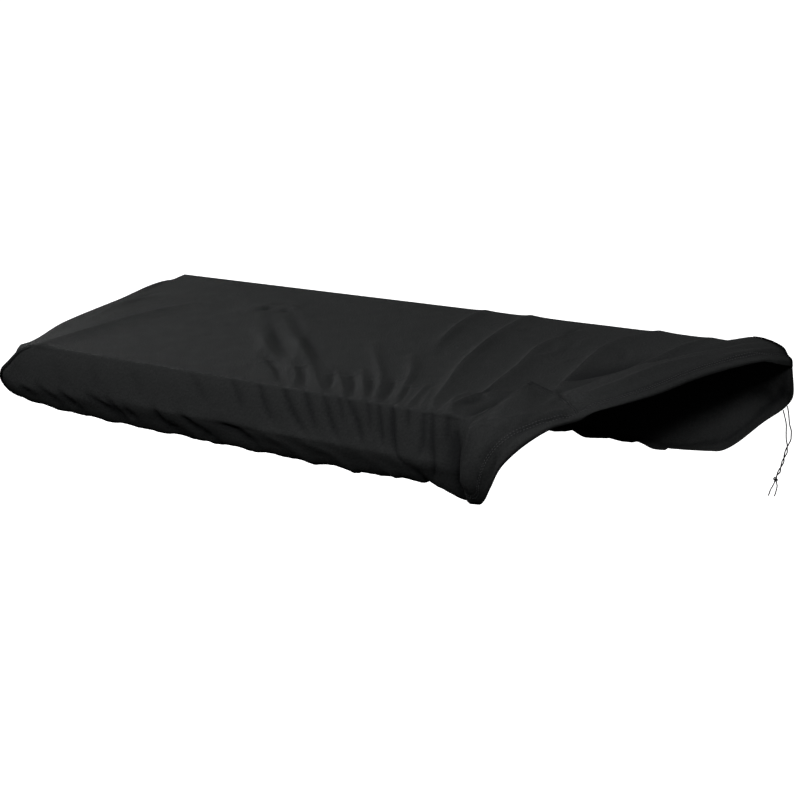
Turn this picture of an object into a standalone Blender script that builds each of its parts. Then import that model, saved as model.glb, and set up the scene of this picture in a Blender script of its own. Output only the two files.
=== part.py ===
"""A fitted dust cover of thin stretch cloth for a long, wedge-shaped form.

The cover keeps the shape in which it is stretched over its form. Its right end is pulled up off
the form's end and lies on the top as a soft band, with one corner hanging as a loose flap.
A drawcord leaves the hem at the back right corner and ends in a knot with two tails.

The tables are in millimetres: x runs along the length, y from front to back and z up, from
the form's front bottom corner at its left end. The solids are in metres.
"""
from collections import namedtuple
from math import exp, pi, sin

import bmesh
import bpy
import numpy as np
from mathutils import Vector

MM = 0.001
UNDER_TOP = (590.0, 200.0, 126.0)  # the held point under the top panel, the model's origin

SHEET = 2.0
FRONT_TOP = (-8.0, 99.0)  # y and z of the front top edge
BACK_TOP = (411.0, 159.0)  # y and z of the back top edge
TOP_SLOPE = (BACK_TOP[1] - FRONT_TOP[1]) / (BACK_TOP[0] - FRONT_TOP[0])
LEFT_TIP_X = 68.0  # the sewn corner at the front left sits this far in from the end
FLAP_X = 933.0  # the cloth leaves the front edge here, and the flap begins

COLUMNS = 70
COLUMN_CROWDING = 1.12  # above 1 the columns lie closer together at the right end
# The rows of the top, as shares of its depth, closest at the flap's peak.
ROW_PLACES = (0, .025, .055, .085, .115, .145, .175, .205, .23, .25, .267, .283, .30, .325,
              .36, .41, .48, .56, .64, .73, .82, .91, 1)
RIGHT_SHAPE = 8  # above 1 only the last columns follow the right edge's own shape

CREST_REACH = 16.0  # how far the raised right edge pulls the top up beside it
CREST_POINTS = 81
FOLD_FADE = 0.05  # share of the length over which the folds end before the right edge
FOLD_REACH = 3.0  # widths from its line at which a fold has died away
FOLD_ENDS = 0.12  # above 0 a fold keeps some height at its two ends
END_ROUNDING = 1.3  # above 1 the top's end falls away late and steeply
SEAM_CURVE = 0.8  # below 1 the left seam bows in towards the top
HEM_TURN = 0.87  # share of the flap at which its hem turns down
HEM_INWARD = (0.0, 4.0, -4.5)

CORD_RADIUS = 1.0
CORD_STEP = 5.0  # radii between two points of a cord
KNOT_SIZE = (7.0, 6.0, 8.0)
KNOT_CENTRE = (1156.4, 459.5, -51.0)

CLOTH_COLOUR = (0.014, 0.015, 0.015, 1.0)
CORD_COLOUR = (0.010, 0.010, 0.010, 1.0)

# The skirts' sections, from a top edge (share 0) down round the form and in under it (share 1).
Ring = namedtuple("Ring", "share y z")
FRONT_PROFILE = (
    Ring(0.00, -8, 99),
    Ring(0.14, -13, 80),
    Ring(0.30, -16, 56),
    Ring(0.46, -17, 31),
    Ring(0.60, -8, 11),
    Ring(0.74, 5, -8),
    Ring(0.87, 22, -10),
    Ring(1.00, 39, -7),
)
BACK_PROFILE = (
    Ring(0.00, 411, 159),
    Ring(0.14, 421, 134),
    Ring(0.30, 440, 95),
    Ring(0.46, 457, 58),
    Ring(0.60, 440, 28),
    Ring(0.74, 413, -7),
    Ring(0.87, 395, -10),
    Ring(1.00, 378, -8),
)
# The left end panel: x of each ring, and how far down it is from the outline's top to the keel.
Side = namedtuple("Side", "share x drop")
LEFT_PROFILE = (
    Side(0.14, 1, 0.00),
    Side(0.30, -10, 0.22),
    Side(0.46, -16, 0.50),
    Side(0.60, -12, 0.78),
    Side(0.74, 3, 1.00),
    Side(0.87, 19, 1.03),
    Side(1.00, 35, 1.00),
)
KEEL_Z = -8.0
LEFT_PLACES = (0.08, 0.3, 0.6, 0.9)  # the left end panel's sections between its corners
# How much of the keel's rise or sag each share of the front section takes.
KeelPart = namedtuple("KeelPart", "share part")
KEEL_PARTS = (
    KeelPart(0.00, 0.0),
    KeelPart(0.50, 0.0),
    KeelPart(0.74, 1.0),
    KeelPart(1.00, 0.75),
)
UNDER_SHARE = 0.6  # share of the front section at which its foot has moved fully sideways

# The front panel: the lowest line and where the cloth's foot goes.
Front = namedtuple("Front", "x foot keel")
FRONT_ROWS = (
    Front(84, 28, 1),
    Front(110, 76, -4),
    Front(170, 156, -7),
    Front(340, 338, -9),
    Front(740, 740, -8),
    Front(841, 843, -4),
    Front(880, 882, -11),
    Front(908, 910, -18),
    Front(921, 922, -19),
)

# The flap: sections across the loose cloth from its upper edge to the hem, from the front
# edge (along 0) to the peak, and the notch between the peak and the band.
Flap = namedtuple("Flap", "along edge shoulder belly hem")
FLAP_ROWS = (
    Flap(0.000, (933, -8, 99), (929, -19, 80), (925, -24, 30), (926, -5, -15)),
    Flap(0.022, (938, 0, 104), (934, -24, 82), (930, -31, 26), (935, -9, -13)),
    Flap(0.062, (943, 19, 110), (941, -28, 87), (940, -37, 24), (946, -11, -11)),
    Flap(0.105, (947, 38, 115), (950, -23, 98), (951, -39, 36), (957, -16, -2)),
    Flap(0.145, (949, 55, 120), (961, -9, 109), (968, -36, 62), (972, -24, 20)),
    Flap(0.182, (950, 72, 125), (971, 15, 117), (985, -25, 91), (989, -28, 49)),
    Flap(0.218, (951, 89, 130), (984, 48, 120), (1009, 5, 110), (1018, -15, 82)),
    Flap(0.250, (952, 104, 133), (991, 76, 119), (1024, 43, 113), (1044, 14, 103)),
    Flap(0.300, (996, 107, 119), (1015, 93, 118), (1040, 68, 115), (1063, 45, 109)),
)

# The band: the end panel pulled up onto the top. Crest and hem in plan, and the crest's lift.
Band = namedtuple("Band", "along crest lift hem hem_lift")
BAND_ROWS = (
    Band(0.325, (1008, 119), 9, (1073, 69), 4),
    Band(0.360, (1024, 139), 14, (1087, 98), 4),
    Band(0.480, (1051, 194), 20, (1115, 165), 4),
    Band(0.635, (1077, 258), 21, (1133, 236), 4),
    Band(0.790, (1100, 322), 20, (1158, 300), 3),
    Band(0.893, (1116, 366), 16, (1180, 342), 1),
    Band(0.960, (1126, 395), 12, (1190, 380), -12),
)
# How the band rounds over between its crest and its hem, which turns down.
Round = namedtuple("Round", "out height")
BAND_ROUND = (
    Round(0.00, 1.00),
    Round(0.15, 1.04),
    Round(0.33, 0.98),
    Round(0.52, 0.84),
    Round(0.70, 0.62),
    Round(0.86, 0.38),
    Round(1.00, 0.12),
    Round(0.98, -0.16),
)

# The back panel: where its edge and foot lie, and how much of its section is still drawn down.
Back = namedtuple("Back", "along edge foot reach")
BACK_ROWS = (
    Back(0.030, 30, 58, 1.00),
    Back(0.100, 108, 116, 1.00),
    Back(0.300, 345, 345, 1.00),
    Back(0.820, 935, 938, 1.00),
    Back(0.872, 992, 1018, 0.97),
    Back(0.906, 1028, 1084, 0.78),
    Back(0.938, 1062, 1140, 0.56),
    Back(0.965, 1092, 1171, 0.43),
    Back(0.984, 1112, 1184, 0.33),
)

# The corner seams, from the top edge to the hem.
FRONT_LEFT_SEAM = (
    (68, -8, 99), (44, -14, 88), (20, -17, 68), (-3, -16, 50),
    (-11, -11, 33), (-7, 0, 14), (10, 14, 1), (38, 32, -4),
)
BACK_LEFT_SEAM = (
    (4, 411, 159), (-4, 419, 138), (-12, 437, 100), (-15, 455, 63),
    (-11, 440, 30), (4, 410, -6), (20, 394, -9), (36, 378, -8),
)
BACK_RIGHT_SEAM = (
    (1130, 411, 168), (1148, 413, 166), (1163, 414, 162), (1174, 415, 157),
    (1181, 416, 150), (1185, 418, 143), (1187, 421, 136), (1188, 425, 129),
)

# The height of the left end's outline, below the plane of the top.
Outline = namedtuple("Outline", "y below ridge")
LEFT_OUTLINE = (
    Outline(-8, 24, 68),
    Outline(33, 16, 78),
    Outline(59, 12, 85),
    Outline(113, 6, 100),
    Outline(205, 3, 123),
    Outline(302, 1, 110),
    Outline(411, 0, 80),
)

# Folds in the top: where each runs, its height, and its width to the left and right of its line.
Fold = namedtuple("Fold", "path height left right")
TOP_FOLDS = (
    Fold(((68, -8), (80, 40), (100, 111), (120, 184), (129, 250)), 5.0, 9, 26),
    Fold(((8, 150), (29, 219), (41, 281)), 4.0, 10, 16),
    Fold(((300, 310), (390, 215), (470, 90)), 6.0, 20, 30),
    Fold(((345, 318), (450, 225), (560, 60)), 6.5, 18, 34),
    Fold(((470, 86), (505, -4)), 4.5, 10, 16),
    Fold(((540, 84), (572, -4)), 4.5, 10, 16),
    Fold(((600, 95), (628, -4)), 4.0, 10, 16),
    Fold(((655, 90), (678, -4)), 5.0, 10, 16),
    Fold(((703, 110), (725, -4)), 5.5, 10, 16),
    Fold(((771, 90), (768, -4)), 5.0, 10, 14),
    Fold(((652, 404), (695, 252)), 7.0, 11, 18),
    Fold(((728, 405), (751, 298), (769, 219), (803, 116), (812, -4)), 10.0, 12, 24),
    Fold(((845, 370), (838, 306), (862, 203), (870, 100), (862, -4)), 11.0, 12, 26),
    Fold(((938, 405), (929, 334), (936, 250), (963, 125)), 11.0, 12, 28),
    Fold(((1010, 405), (990, 330), (985, 250), (1002, 150)), 6.0, 12, 20),
    Fold(((905, 120), (900, 60), (892, -4)), 6.0, 10, 18),
)
# Folds down the front face: where each starts and ends along the length, and its depth.
PLEAT_END = 0.5  # share of the skirt at which a pleat reaches its foot and begins to fade
Pleat = namedtuple("Pleat", "x foot depth width")
FRONT_PLEATS = (
    Pleat(300, 330, 1.5, 14),
    Pleat(420, 452, 1.8, 14),
    Pleat(520, 560, 2.2, 13),
    Pleat(585, 622, 2.6, 12),
    Pleat(640, 668, 2.6, 12),
    Pleat(682, 706, 3.0, 12),
    Pleat(725, 742, 3.0, 12),
    Pleat(768, 776, 3.2, 11),
    Pleat(812, 814, 4.0, 11),
    Pleat(862, 866, 3.5, 12),
)
# Gathers round the drawn-in hem: waves of unlike length that lean along the hem.
Gather = namedtuple("Gather", "length height lean")
GATHERS = (
    Gather(61.0, 2.2, 0.45),
    Gather(103.0, 2.0, 0.70),
)
GATHER_START = 0.50  # share of the skirt at which the gathers begin
GATHER_TURNS = 3.0  # how far the waves lean between the skirt's edge and its hem
GATHER_OUT = 0.6  # how far a wave stands out, as a share of its height
BACK_GATHER_END = 0.87  # the back hem is smooth from here to the pulled-up end
FLAP_FADE = 0.03  # share of the front over which its pleats end before the flap

# The two strands of the drawcord and their tails, point by point.
CORD_ROUTES = {
    "strand_a": (
        (1170.2, 455.9, 62.7), (1171.9, 458.0, 50.0), (1173.0, 459.6, 37.0), (1176.4, 460.2, 24.0),
        (1176.2, 460.8, 14.0), (1172.4, 461.3, 4.0), (1168.9, 459.9, -5.0), (1168.2, 457.9, -13.0),
        (1167.7, 459.4, -21.0), (1164.1, 461.1, -29.0), (1159.8, 459.6, -37.0), (1157.8, 457.9, -46.6),
    ),
    "strand_b": (
        (1164.3, 454.9, 56.2), (1166.4, 457.2, 46.0), (1168.8, 458.4, 34.0), (1169.4, 458.2, 22.0),
        (1170.4, 457.7, 12.0), (1172.4, 457.6, 3.0), (1172.1, 459.4, -6.0), (1168.4, 461.1, -14.0),
        (1164.7, 459.6, -22.0), (1164.0, 457.9, -30.0), (1162.7, 459.5, -38.0), (1156.6, 461.3, -46.6),
    ),
    "tail_a": (
        (1155.1, 458.9, -55.0), (1152.6, 458.6, -61.0), (1148.8, 459.0, -69.0), (1146.2, 459.6, -77.4),
    ),
    "tail_b": (
        (1157.6, 460.2, -55.1), (1158.6, 460.6, -61.0), (1157.2, 460.8, -69.0), (1155.4, 460.2, -77.0),
    ),
}


def smooth_line(keys, values):
    """Return a function that reads a table smoothly between its rows and never overshoots."""
    keys = np.array(keys, float)
    values = np.array(values, float).reshape(len(keys), -1)
    steps = np.diff(keys)[:, None]
    slopes = np.diff(values, axis=0) / steps
    tangents = np.zeros_like(values)
    before, after = slopes[:-1], slopes[1:]
    same_way = before * after > 0
    total = np.where(same_way, before + after, 1.0)
    tangents[1:-1] = np.where(same_way, 2 * before * after / total, 0.0)
    tangents[0], tangents[-1] = slopes[0], slopes[-1]

    def read(place):
        i = int(np.clip(np.searchsorted(keys, place) - 1, 0, len(keys) - 2))
        step = steps[i, 0]
        t = min(max((place - keys[i]) / step, 0.0), 1.0)
        return (
            values[i] * (1 + 2 * t) * (1 - t) ** 2
            + values[i + 1] * t * t * (3 - 2 * t)
            + step * t * (1 - t) * (tangents[i] * (1 - t) - tangents[i + 1] * t)
        )

    return read


def curve_through(points):
    """Return a smooth curve through a few points, read by the share of its length."""
    points = np.array(points, float)
    lengths = np.linalg.norm(np.diff(points, axis=0), axis=1)
    shares = np.concatenate(([0.0], np.cumsum(lengths))) / lengths.sum()
    return smooth_line(shares, points)


def top_plane(y):
    return FRONT_TOP[1] + (y - FRONT_TOP[0]) * TOP_SLOPE


RING_SHARES = [ring.share for ring in FRONT_PROFILE]
front_profile = smooth_line(RING_SHARES, [(ring.y, ring.z) for ring in FRONT_PROFILE])
back_profile = smooth_line(RING_SHARES, [(ring.y, ring.z) for ring in BACK_PROFILE])
band_profile = smooth_line(RING_SHARES, [(step.out, step.height) for step in BAND_ROUND])
keel_part = smooth_line([part.share for part in KEEL_PARTS], [part.part for part in KEEL_PARTS])
outline = smooth_line([row.y for row in LEFT_OUTLINE], [(row.below, row.ridge) for row in LEFT_OUTLINE])


def end_fall(x, y):
    """How far the top falls between its left ridge and the end."""
    below, ridge = outline(y)
    return -below * max(1 - x / ridge, 0.0) ** END_ROUNDING


def off_the_fold(x, y, path):
    """Signed distance from a fold's line, positive to its right, and the share along it."""
    lengths = [((b[0] - a[0]) ** 2 + (b[1] - a[1]) ** 2) ** 0.5 for a, b in zip(path, path[1:])]
    nearest = None
    walked = 0.0
    for (a, b), length in zip(zip(path, path[1:]), lengths):
        along_x, along_y = (b[0] - a[0]) / length, (b[1] - a[1]) / length
        t = min(max((x - a[0]) * along_x + (y - a[1]) * along_y, 0.0), length)
        away_x, away_y = x - a[0] - t * along_x, y - a[1] - t * along_y
        gap = (away_x ** 2 + away_y ** 2) ** 0.5
        if nearest is None or gap < nearest[0]:
            nearest = (gap, away_x, (walked + t) / sum(lengths))
        walked += length
    gap, away_x, share = nearest
    return (gap if away_x > 0 else -gap), share


def fold_fade(share):
    """A fold is low at its two ends and full along its middle."""
    return sin(pi * (FOLD_ENDS + (1 - 2 * FOLD_ENDS) * share)) ** 0.5


def top_folds(x, y):
    height = 0.0
    for fold in TOP_FOLDS:
        gap, share = off_the_fold(x, y, fold.path)
        width = fold.right if gap > 0 else fold.left
        if abs(gap) < FOLD_REACH * width:
            height += fold.height * fold_fade(share) * exp(-(gap / width) ** 2)
    return height


def front_edge(along):
    """The front edge of the top, straight along the form as far as the flap."""
    x = LEFT_TIP_X + (FLAP_X - LEFT_TIP_X) * along
    return np.array((x, *FRONT_TOP))


def join_sections(sections):
    """Read each section at the rings, and join the sections into one smooth panel."""
    return smooth_line([along for along, section in sections], [
        [value for share in RING_SHARES for value in section(share)] for along, section in sections
    ])


def front_section(row):
    """A plain section of the front panel, whose foot may lie beside its edge."""
    def section(share):
        y, z = front_profile(share)
        shift = min(share / UNDER_SHARE, 1.0) ** END_ROUNDING
        sag = keel_part(share)[0]
        return row.x + (row.foot - row.x) * shift, y, z + (row.keel - KEEL_Z) * sag

    return section


def back_section(row):
    """A section of the back panel, drawn down over a part of the form."""
    def section(share):
        y, z = back_profile(share * row.reach)
        return row.edge + (row.foot - row.edge) * share, y, z

    return section


def left_section(along):
    """A section of the left end panel, from the top's seam over the outline to the hem."""
    edge = left_edge(along)
    high = top_plane(edge[1]) - outline(edge[1])[0]
    places = smooth_line([0.0] + [row.share for row in LEFT_PROFILE],
                         [(edge[0], 0.0)] + [(row.x, row.drop) for row in LEFT_PROFILE])
    foot_y = FRONT_LEFT_SEAM[-1][1] + along * (BACK_LEFT_SEAM[-1][1] - FRONT_LEFT_SEAM[-1][1])

    def section(share):
        x, drop = places(share)
        z = edge[2] if share == 0 else high - (high - KEEL_Z) * drop
        return x, edge[1] + (foot_y - edge[1]) * share ** 2, z

    return section


def band_section(row):
    """A section of the band: up over its crest and down to the hem."""
    crest, hem = np.array(row.crest, float), np.array(row.hem, float)

    def section(share):
        out, height = band_profile(share)
        x, y = crest + (hem - crest) * out
        return x, y, top_plane(y) + row.hem_lift + (row.lift - row.hem_lift) * height

    return section


def left_edge(along):
    """The seam between the top and the left end panel."""
    start, end = FRONT_LEFT_SEAM[0], BACK_LEFT_SEAM[0]
    x = start[0] + (end[0] - start[0]) * along ** SEAM_CURVE
    y = start[1] + (end[1] - start[1]) * along
    return np.array((x, y, top_plane(y) + end_fall(x, y)))


right_edge = smooth_line(
    [row.along for row in FLAP_ROWS] + [row.along for row in BAND_ROWS] + [1.0],
    [row.edge for row in FLAP_ROWS]
    + [(*row.crest, top_plane(row.crest[1]) + row.lift) for row in BAND_ROWS]
    + [BACK_RIGHT_SEAM[0]],
)
back_edge = smooth_line(
    [0.0] + [row.along for row in BACK_ROWS] + [1.0],
    [BACK_LEFT_SEAM[0]] + [(row.edge, *BACK_TOP) for row in BACK_ROWS] + [BACK_RIGHT_SEAM[0]],
)


def flap_section(row):
    """A section of the flap, whose hem turns down behind it."""
    curve = curve_through((row.edge, row.shoulder, row.belly, row.hem))

    def section(share):
        return curve(share / HEM_TURN) if share <= HEM_TURN else curve(1.0) + HEM_INWARD

    return section


def panels():
    """The four skirts. Each gives the points from its edge to its hem at a place along it."""
    length = FLAP_X - LEFT_TIP_X
    front_left = smooth_line(RING_SHARES, FRONT_LEFT_SEAM)
    back_left = smooth_line(RING_SHARES, BACK_LEFT_SEAM)
    back_right = smooth_line(RING_SHARES, BACK_RIGHT_SEAM)
    front = [((row.x - LEFT_TIP_X) / length, front_section(row)) for row in FRONT_ROWS]
    flap = [(row.along, flap_section(row)) for row in FLAP_ROWS]
    band = [(row.along, band_section(row)) for row in BAND_ROWS]
    back = [(row.along, back_section(row)) for row in BACK_ROWS]
    left = [(along, left_section(along)) for along in LEFT_PLACES]
    return {
        "front": join_sections([(0.0, front_left)] + front + [(1.0, flap[0][1])]),
        "right": join_sections(flap + band + [(1.0, back_right)]),
        "back": join_sections([(0.0, back_left)] + back + [(1.0, back_right)]),
        "left": join_sections([(0.0, front_left)] + left + [(1.0, back_left)]),
    }


def crest_points():
    """Points along the raised right edge, each with its lift above the top's plane."""
    edges = [right_edge(place) for place in np.linspace(0, 1, CREST_POINTS)]
    return [(x, y, max(z - top_plane(y), 0.0)) for x, y, z in edges]


def crest_lift(crest, x, y):
    """How far the raised right edge pulls the top up at a point beside it."""
    return max(lift * exp(-((x - cx) ** 2 + (y - cy) ** 2) / CREST_REACH ** 2) for cx, cy, lift in crest)


def top_point(crest, u, v):
    """A point of the top panel, spanned between its four edges and lifted by its folds."""
    front, back, left, right = front_edge(u), back_edge(u), left_edge(v), right_edge(v)
    if u == 1:
        return right
    left_bend = left - (1 - v) * front_edge(0) - v * back_edge(0)
    right_bend = right - (1 - v) * front_edge(1) - v * back_edge(1)
    x, y = ((1 - v) * front + v * back + (1 - u) * left_bend + u ** RIGHT_SHAPE * right_bend)[:2]
    folds = 0.0 if u == 0 or v == 1 else top_folds(x, y) * min((1 - u) / FOLD_FADE, 1.0)
    return x, y, top_plane(y) + end_fall(x, y) + folds + crest_lift(crest, x, y)


def pleat_depth(x, share):
    """How far the front face stands out at its folds."""
    depth = 0.0
    for pleat in FRONT_PLEATS:
        line = pleat.x + (pleat.foot - pleat.x) * share / PLEAT_END
        depth += pleat.depth * exp(-((x - line) / pleat.width) ** 2)
    return depth


def gather_wave(place, share):
    """The waves of cloth that the drawcord gathers at the hem."""
    strength = min(max((share - GATHER_START) / (1 - GATHER_START), 0.0), 1.0)
    return strength * sum(
        row.height * sin(2 * pi * (place / row.length + row.lean * share * GATHER_TURNS)) for row in GATHERS
    )


def skirt_point(columns, side, u, v, ring):
    """A point of a skirt, with the pleats of its face and the gathers of its hem."""
    along = v if side in ("left", "right") else u
    share = RING_SHARES[ring]
    x, y, z = columns[side](along)[ring * 3:ring * 3 + 3]
    if side == "front" and 0 < u < 1:
        fade = min((1 - u) / FLAP_FADE, 1.0)
        wave = gather_wave(x, share) * fade
        y -= pleat_depth(x, share) * fade * min((1 - share) / PLEAT_END, 1.0) + wave * GATHER_OUT
        z += wave
    elif side == "back" and 0 < u < BACK_GATHER_END:
        wave = gather_wave(x, share)
        y += wave * GATHER_OUT
        z += wave
    elif side == "left" and 0 < v < 1:
        x -= gather_wave(y, share) * GATHER_OUT
    return x, y, z


def build_cover():
    """The cover: a top panel with skirts drawn down from its edge, then given its thickness."""
    columns = panels()
    crest = crest_points()
    rows = len(ROW_PLACES) - 1
    mesh = bmesh.new()
    bmesh.ops.create_grid(mesh, x_segments=COLUMNS, y_segments=rows, size=0.5)
    across = mesh.verts.layers.float.new("across")
    deep = mesh.verts.layers.int.new("row")
    down = mesh.verts.layers.int.new("ring")
    for vert in mesh.verts:
        vert[across] = round((vert.co.x + 0.5) * COLUMNS) / COLUMNS
        vert[deep] = round((vert.co.y + 0.5) * rows)
    rim = [edge for edge in mesh.edges if edge.is_boundary]
    for ring in range(1, len(RING_SHARES)):
        grown = bmesh.ops.extrude_edge_only(mesh, edges=rim)["geom"]
        for item in grown:
            if isinstance(item, bmesh.types.BMVert):
                item[down] = ring
        rim = [item for item in grown if isinstance(item, bmesh.types.BMEdge) and item.is_boundary]
    for vert in mesh.verts:
        u, v, ring = 1 - (1 - vert[across]) ** COLUMN_CROWDING, ROW_PLACES[vert[deep]], vert[down]
        if ring == 0:
            point = top_point(crest, u, v)
        else:
            side = "left" if u == 0 else "right" if u == 1 else "front" if v == 0 else "back"
            point = skirt_point(columns, side, u, v, ring)
        vert.co = (Vector(point) - Vector(UNDER_TOP)) * MM
    bmesh.ops.recalc_face_normals(mesh, faces=mesh.faces)
    return finish_mesh("cover", mesh)


def finish_mesh(name, mesh):
    data = bpy.data.meshes.new(name)
    mesh.to_mesh(data)
    mesh.free()
    data.shade_smooth()
    return bpy.data.objects.new(name, data)


def give_thickness(thing):
    sheet = thing.modifiers.new("sheet", "SOLIDIFY")
    sheet.thickness = SHEET * MM
    sheet.offset = -1.0
    sheet.use_even_offset = False


def build_cord(name, route):
    """A round cord along a smooth curve through the route's points."""
    curve = curve_through(route)
    length = sum((Vector(b) - Vector(a)).length for a, b in zip(route, route[1:]))
    steps = int(length / (CORD_RADIUS * CORD_STEP))
    data = bpy.data.curves.new(name, "CURVE")
    data.dimensions = "3D"
    data.bevel_depth = CORD_RADIUS * MM
    data.bevel_resolution = 2
    data.use_fill_caps = True
    line = data.splines.new("POLY")
    line.points.add(steps)
    for i, point in enumerate(line.points):
        point.co = (*((Vector(curve(i / steps)) - Vector(UNDER_TOP)) * MM), 1.0)
    return bpy.data.objects.new(name, data)


def build_knot():
    """The knot that joins the strands: a small lump wider than it is deep."""
    mesh = bmesh.new()
    bmesh.ops.create_uvsphere(mesh, u_segments=16, v_segments=10, radius=0.5)
    for vert in mesh.verts:
        vert.co = Vector(size * value for size, value in zip(KNOT_SIZE, vert.co))
        vert.co = (vert.co + Vector(KNOT_CENTRE) - Vector(UNDER_TOP)) * MM
    return finish_mesh("knot", mesh)


def plain_material(name, colour, roughness):
    material = bpy.data.materials.new(name)
    material.use_nodes = True
    shader = material.node_tree.nodes["Principled BSDF"]
    shader.inputs["Base Color"].default_value = colour
    shader.inputs["Roughness"].default_value = roughness
    shader.inputs["Metallic"].default_value = 0.0
    return material


def build_all():
    for thing in list(bpy.data.objects):
        bpy.data.objects.remove(thing, do_unlink=True)
    parts = bpy.data.collections.new("keyboard dust cover")
    bpy.context.scene.collection.children.link(parts)
    cloth = plain_material("stretch cloth", CLOTH_COLOUR, 0.75)
    cord = plain_material("cord", CORD_COLOUR, 0.6)
    cover = build_cover()
    give_thickness(cover)
    cover.data.materials.append(cloth)
    parts.objects.link(cover)
    for name, route in CORD_ROUTES.items():
        strand = build_cord(name, route)
        strand.data.materials.append(cord)
        parts.objects.link(strand)
    knot = build_knot()
    knot.data.materials.append(cord)
    parts.objects.link(knot)


build_all()
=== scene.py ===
# Fitted dust cover of thin stretch cloth, with a drawcord at its back right corner.
# The cover's and the cord's tables are in millimetres in the cover's own frame: x along its
# length, y from front to back, z up, from the form's front bottom corner at its left end. The
# camera and the stage are in metres from the held point.
from collections import namedtuple
from math import cos, pi, radians, sin

import bmesh
import bpy
import numpy as np
from mathutils import Matrix, Vector


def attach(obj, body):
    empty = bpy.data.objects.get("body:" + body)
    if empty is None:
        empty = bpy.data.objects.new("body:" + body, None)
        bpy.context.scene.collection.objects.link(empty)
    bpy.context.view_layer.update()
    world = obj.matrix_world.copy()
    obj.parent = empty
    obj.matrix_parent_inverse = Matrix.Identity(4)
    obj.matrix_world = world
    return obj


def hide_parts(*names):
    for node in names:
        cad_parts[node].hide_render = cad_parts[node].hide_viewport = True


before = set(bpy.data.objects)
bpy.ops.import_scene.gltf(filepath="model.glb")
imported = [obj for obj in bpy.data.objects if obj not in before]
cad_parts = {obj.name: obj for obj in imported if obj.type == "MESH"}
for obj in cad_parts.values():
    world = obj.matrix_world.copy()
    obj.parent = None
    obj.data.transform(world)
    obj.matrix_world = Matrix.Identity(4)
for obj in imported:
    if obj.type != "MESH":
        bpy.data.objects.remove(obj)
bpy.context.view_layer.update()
print("frame loaded:", ", ".join(sorted(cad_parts)))

mm = 0.001
underTop = np.array((590.0, 200.0, 126.0))  # the held point, which is the model's origin


def toModel(points):
    return (np.asarray(points, float) - underTop) * mm


def placeInModel(mesh):
    for vert in mesh.verts:
        vert.co = toModel(vert.co)


def walkedAlong(points):
    # the length of a line of points from its start to each of them
    return np.concatenate(([0.0], np.cumsum(np.linalg.norm(np.diff(points, axis=0), axis=1))))


def smoothLine(keys, values):
    # reads a table smoothly between its rows, and never overshoots them
    keys = np.array(keys, float)
    values = np.array(values, float).reshape(len(keys), -1)
    steps = np.diff(keys)[:, None]
    slopes = np.diff(values, axis=0) / steps
    tangents = np.zeros_like(values)
    before, after = slopes[:-1], slopes[1:]
    sameWay = before * after > 0
    total = np.where(sameWay, before + after, 1.0)
    tangents[1:-1] = np.where(sameWay, 2 * before * after / total, 0.0)
    tangents[0], tangents[-1] = slopes[0], slopes[-1]

    def read(place):
        place = np.asarray(place, float)
        i = np.clip(np.searchsorted(keys, place) - 1, 0, len(keys) - 2)
        step = steps[i, 0]
        t = np.clip((place - keys[i]) / step, 0.0, 1.0)[..., None]
        step = step[..., None]
        return (
            values[i] * (1 + 2 * t) * (1 - t) ** 2
            + values[i + 1] * t * t * (3 - 2 * t)
            + step * t * (1 - t) * (tangents[i] * (1 - t) - tangents[i + 1] * t)
        )

    return read


def curveThrough(points):
    # a smooth curve through a few points, read by the share of its length
    points = np.array(points, float)
    lengths = np.linalg.norm(np.diff(points, axis=0), axis=1)
    shares = np.concatenate(([0.0], np.cumsum(lengths))) / lengths.sum()
    return smoothLine(shares, points)


# camera, at the photograph's viewing angle
cameraSizes = {
    "place": (1.5108, -1.9156, 0.4733),
    "turn": 36.98,  # degrees to the right of straight on
    "tilt": 12.92,  # degrees down
    "roll": -0.096,
    "lens": 73.0,
    "sensor": 36.0,
}


def addCamera(sizes):
    turn, tilt, roll = (radians(sizes[key]) for key in ("turn", "tilt", "roll"))
    ahead = Vector((-sin(turn) * cos(tilt), cos(turn) * cos(tilt), -sin(tilt)))
    right = Vector((cos(turn), sin(turn), 0))
    up = right.cross(ahead)
    right, up = right * cos(roll) + up * sin(roll), up * cos(roll) - right * sin(roll)
    data = bpy.data.cameras.new("camera")
    data.lens = sizes["lens"]
    data.sensor_width = sizes["sensor"]
    data.clip_end = 50.0
    camera = bpy.data.objects.new("camera", data)
    axes = Matrix((right, up, -ahead)).transposed().to_4x4()
    camera.matrix_world = Matrix.Translation(sizes["place"]) @ axes
    bpy.context.scene.collection.objects.link(camera)
    bpy.context.scene.camera = camera


addCamera(cameraSizes)


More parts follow.
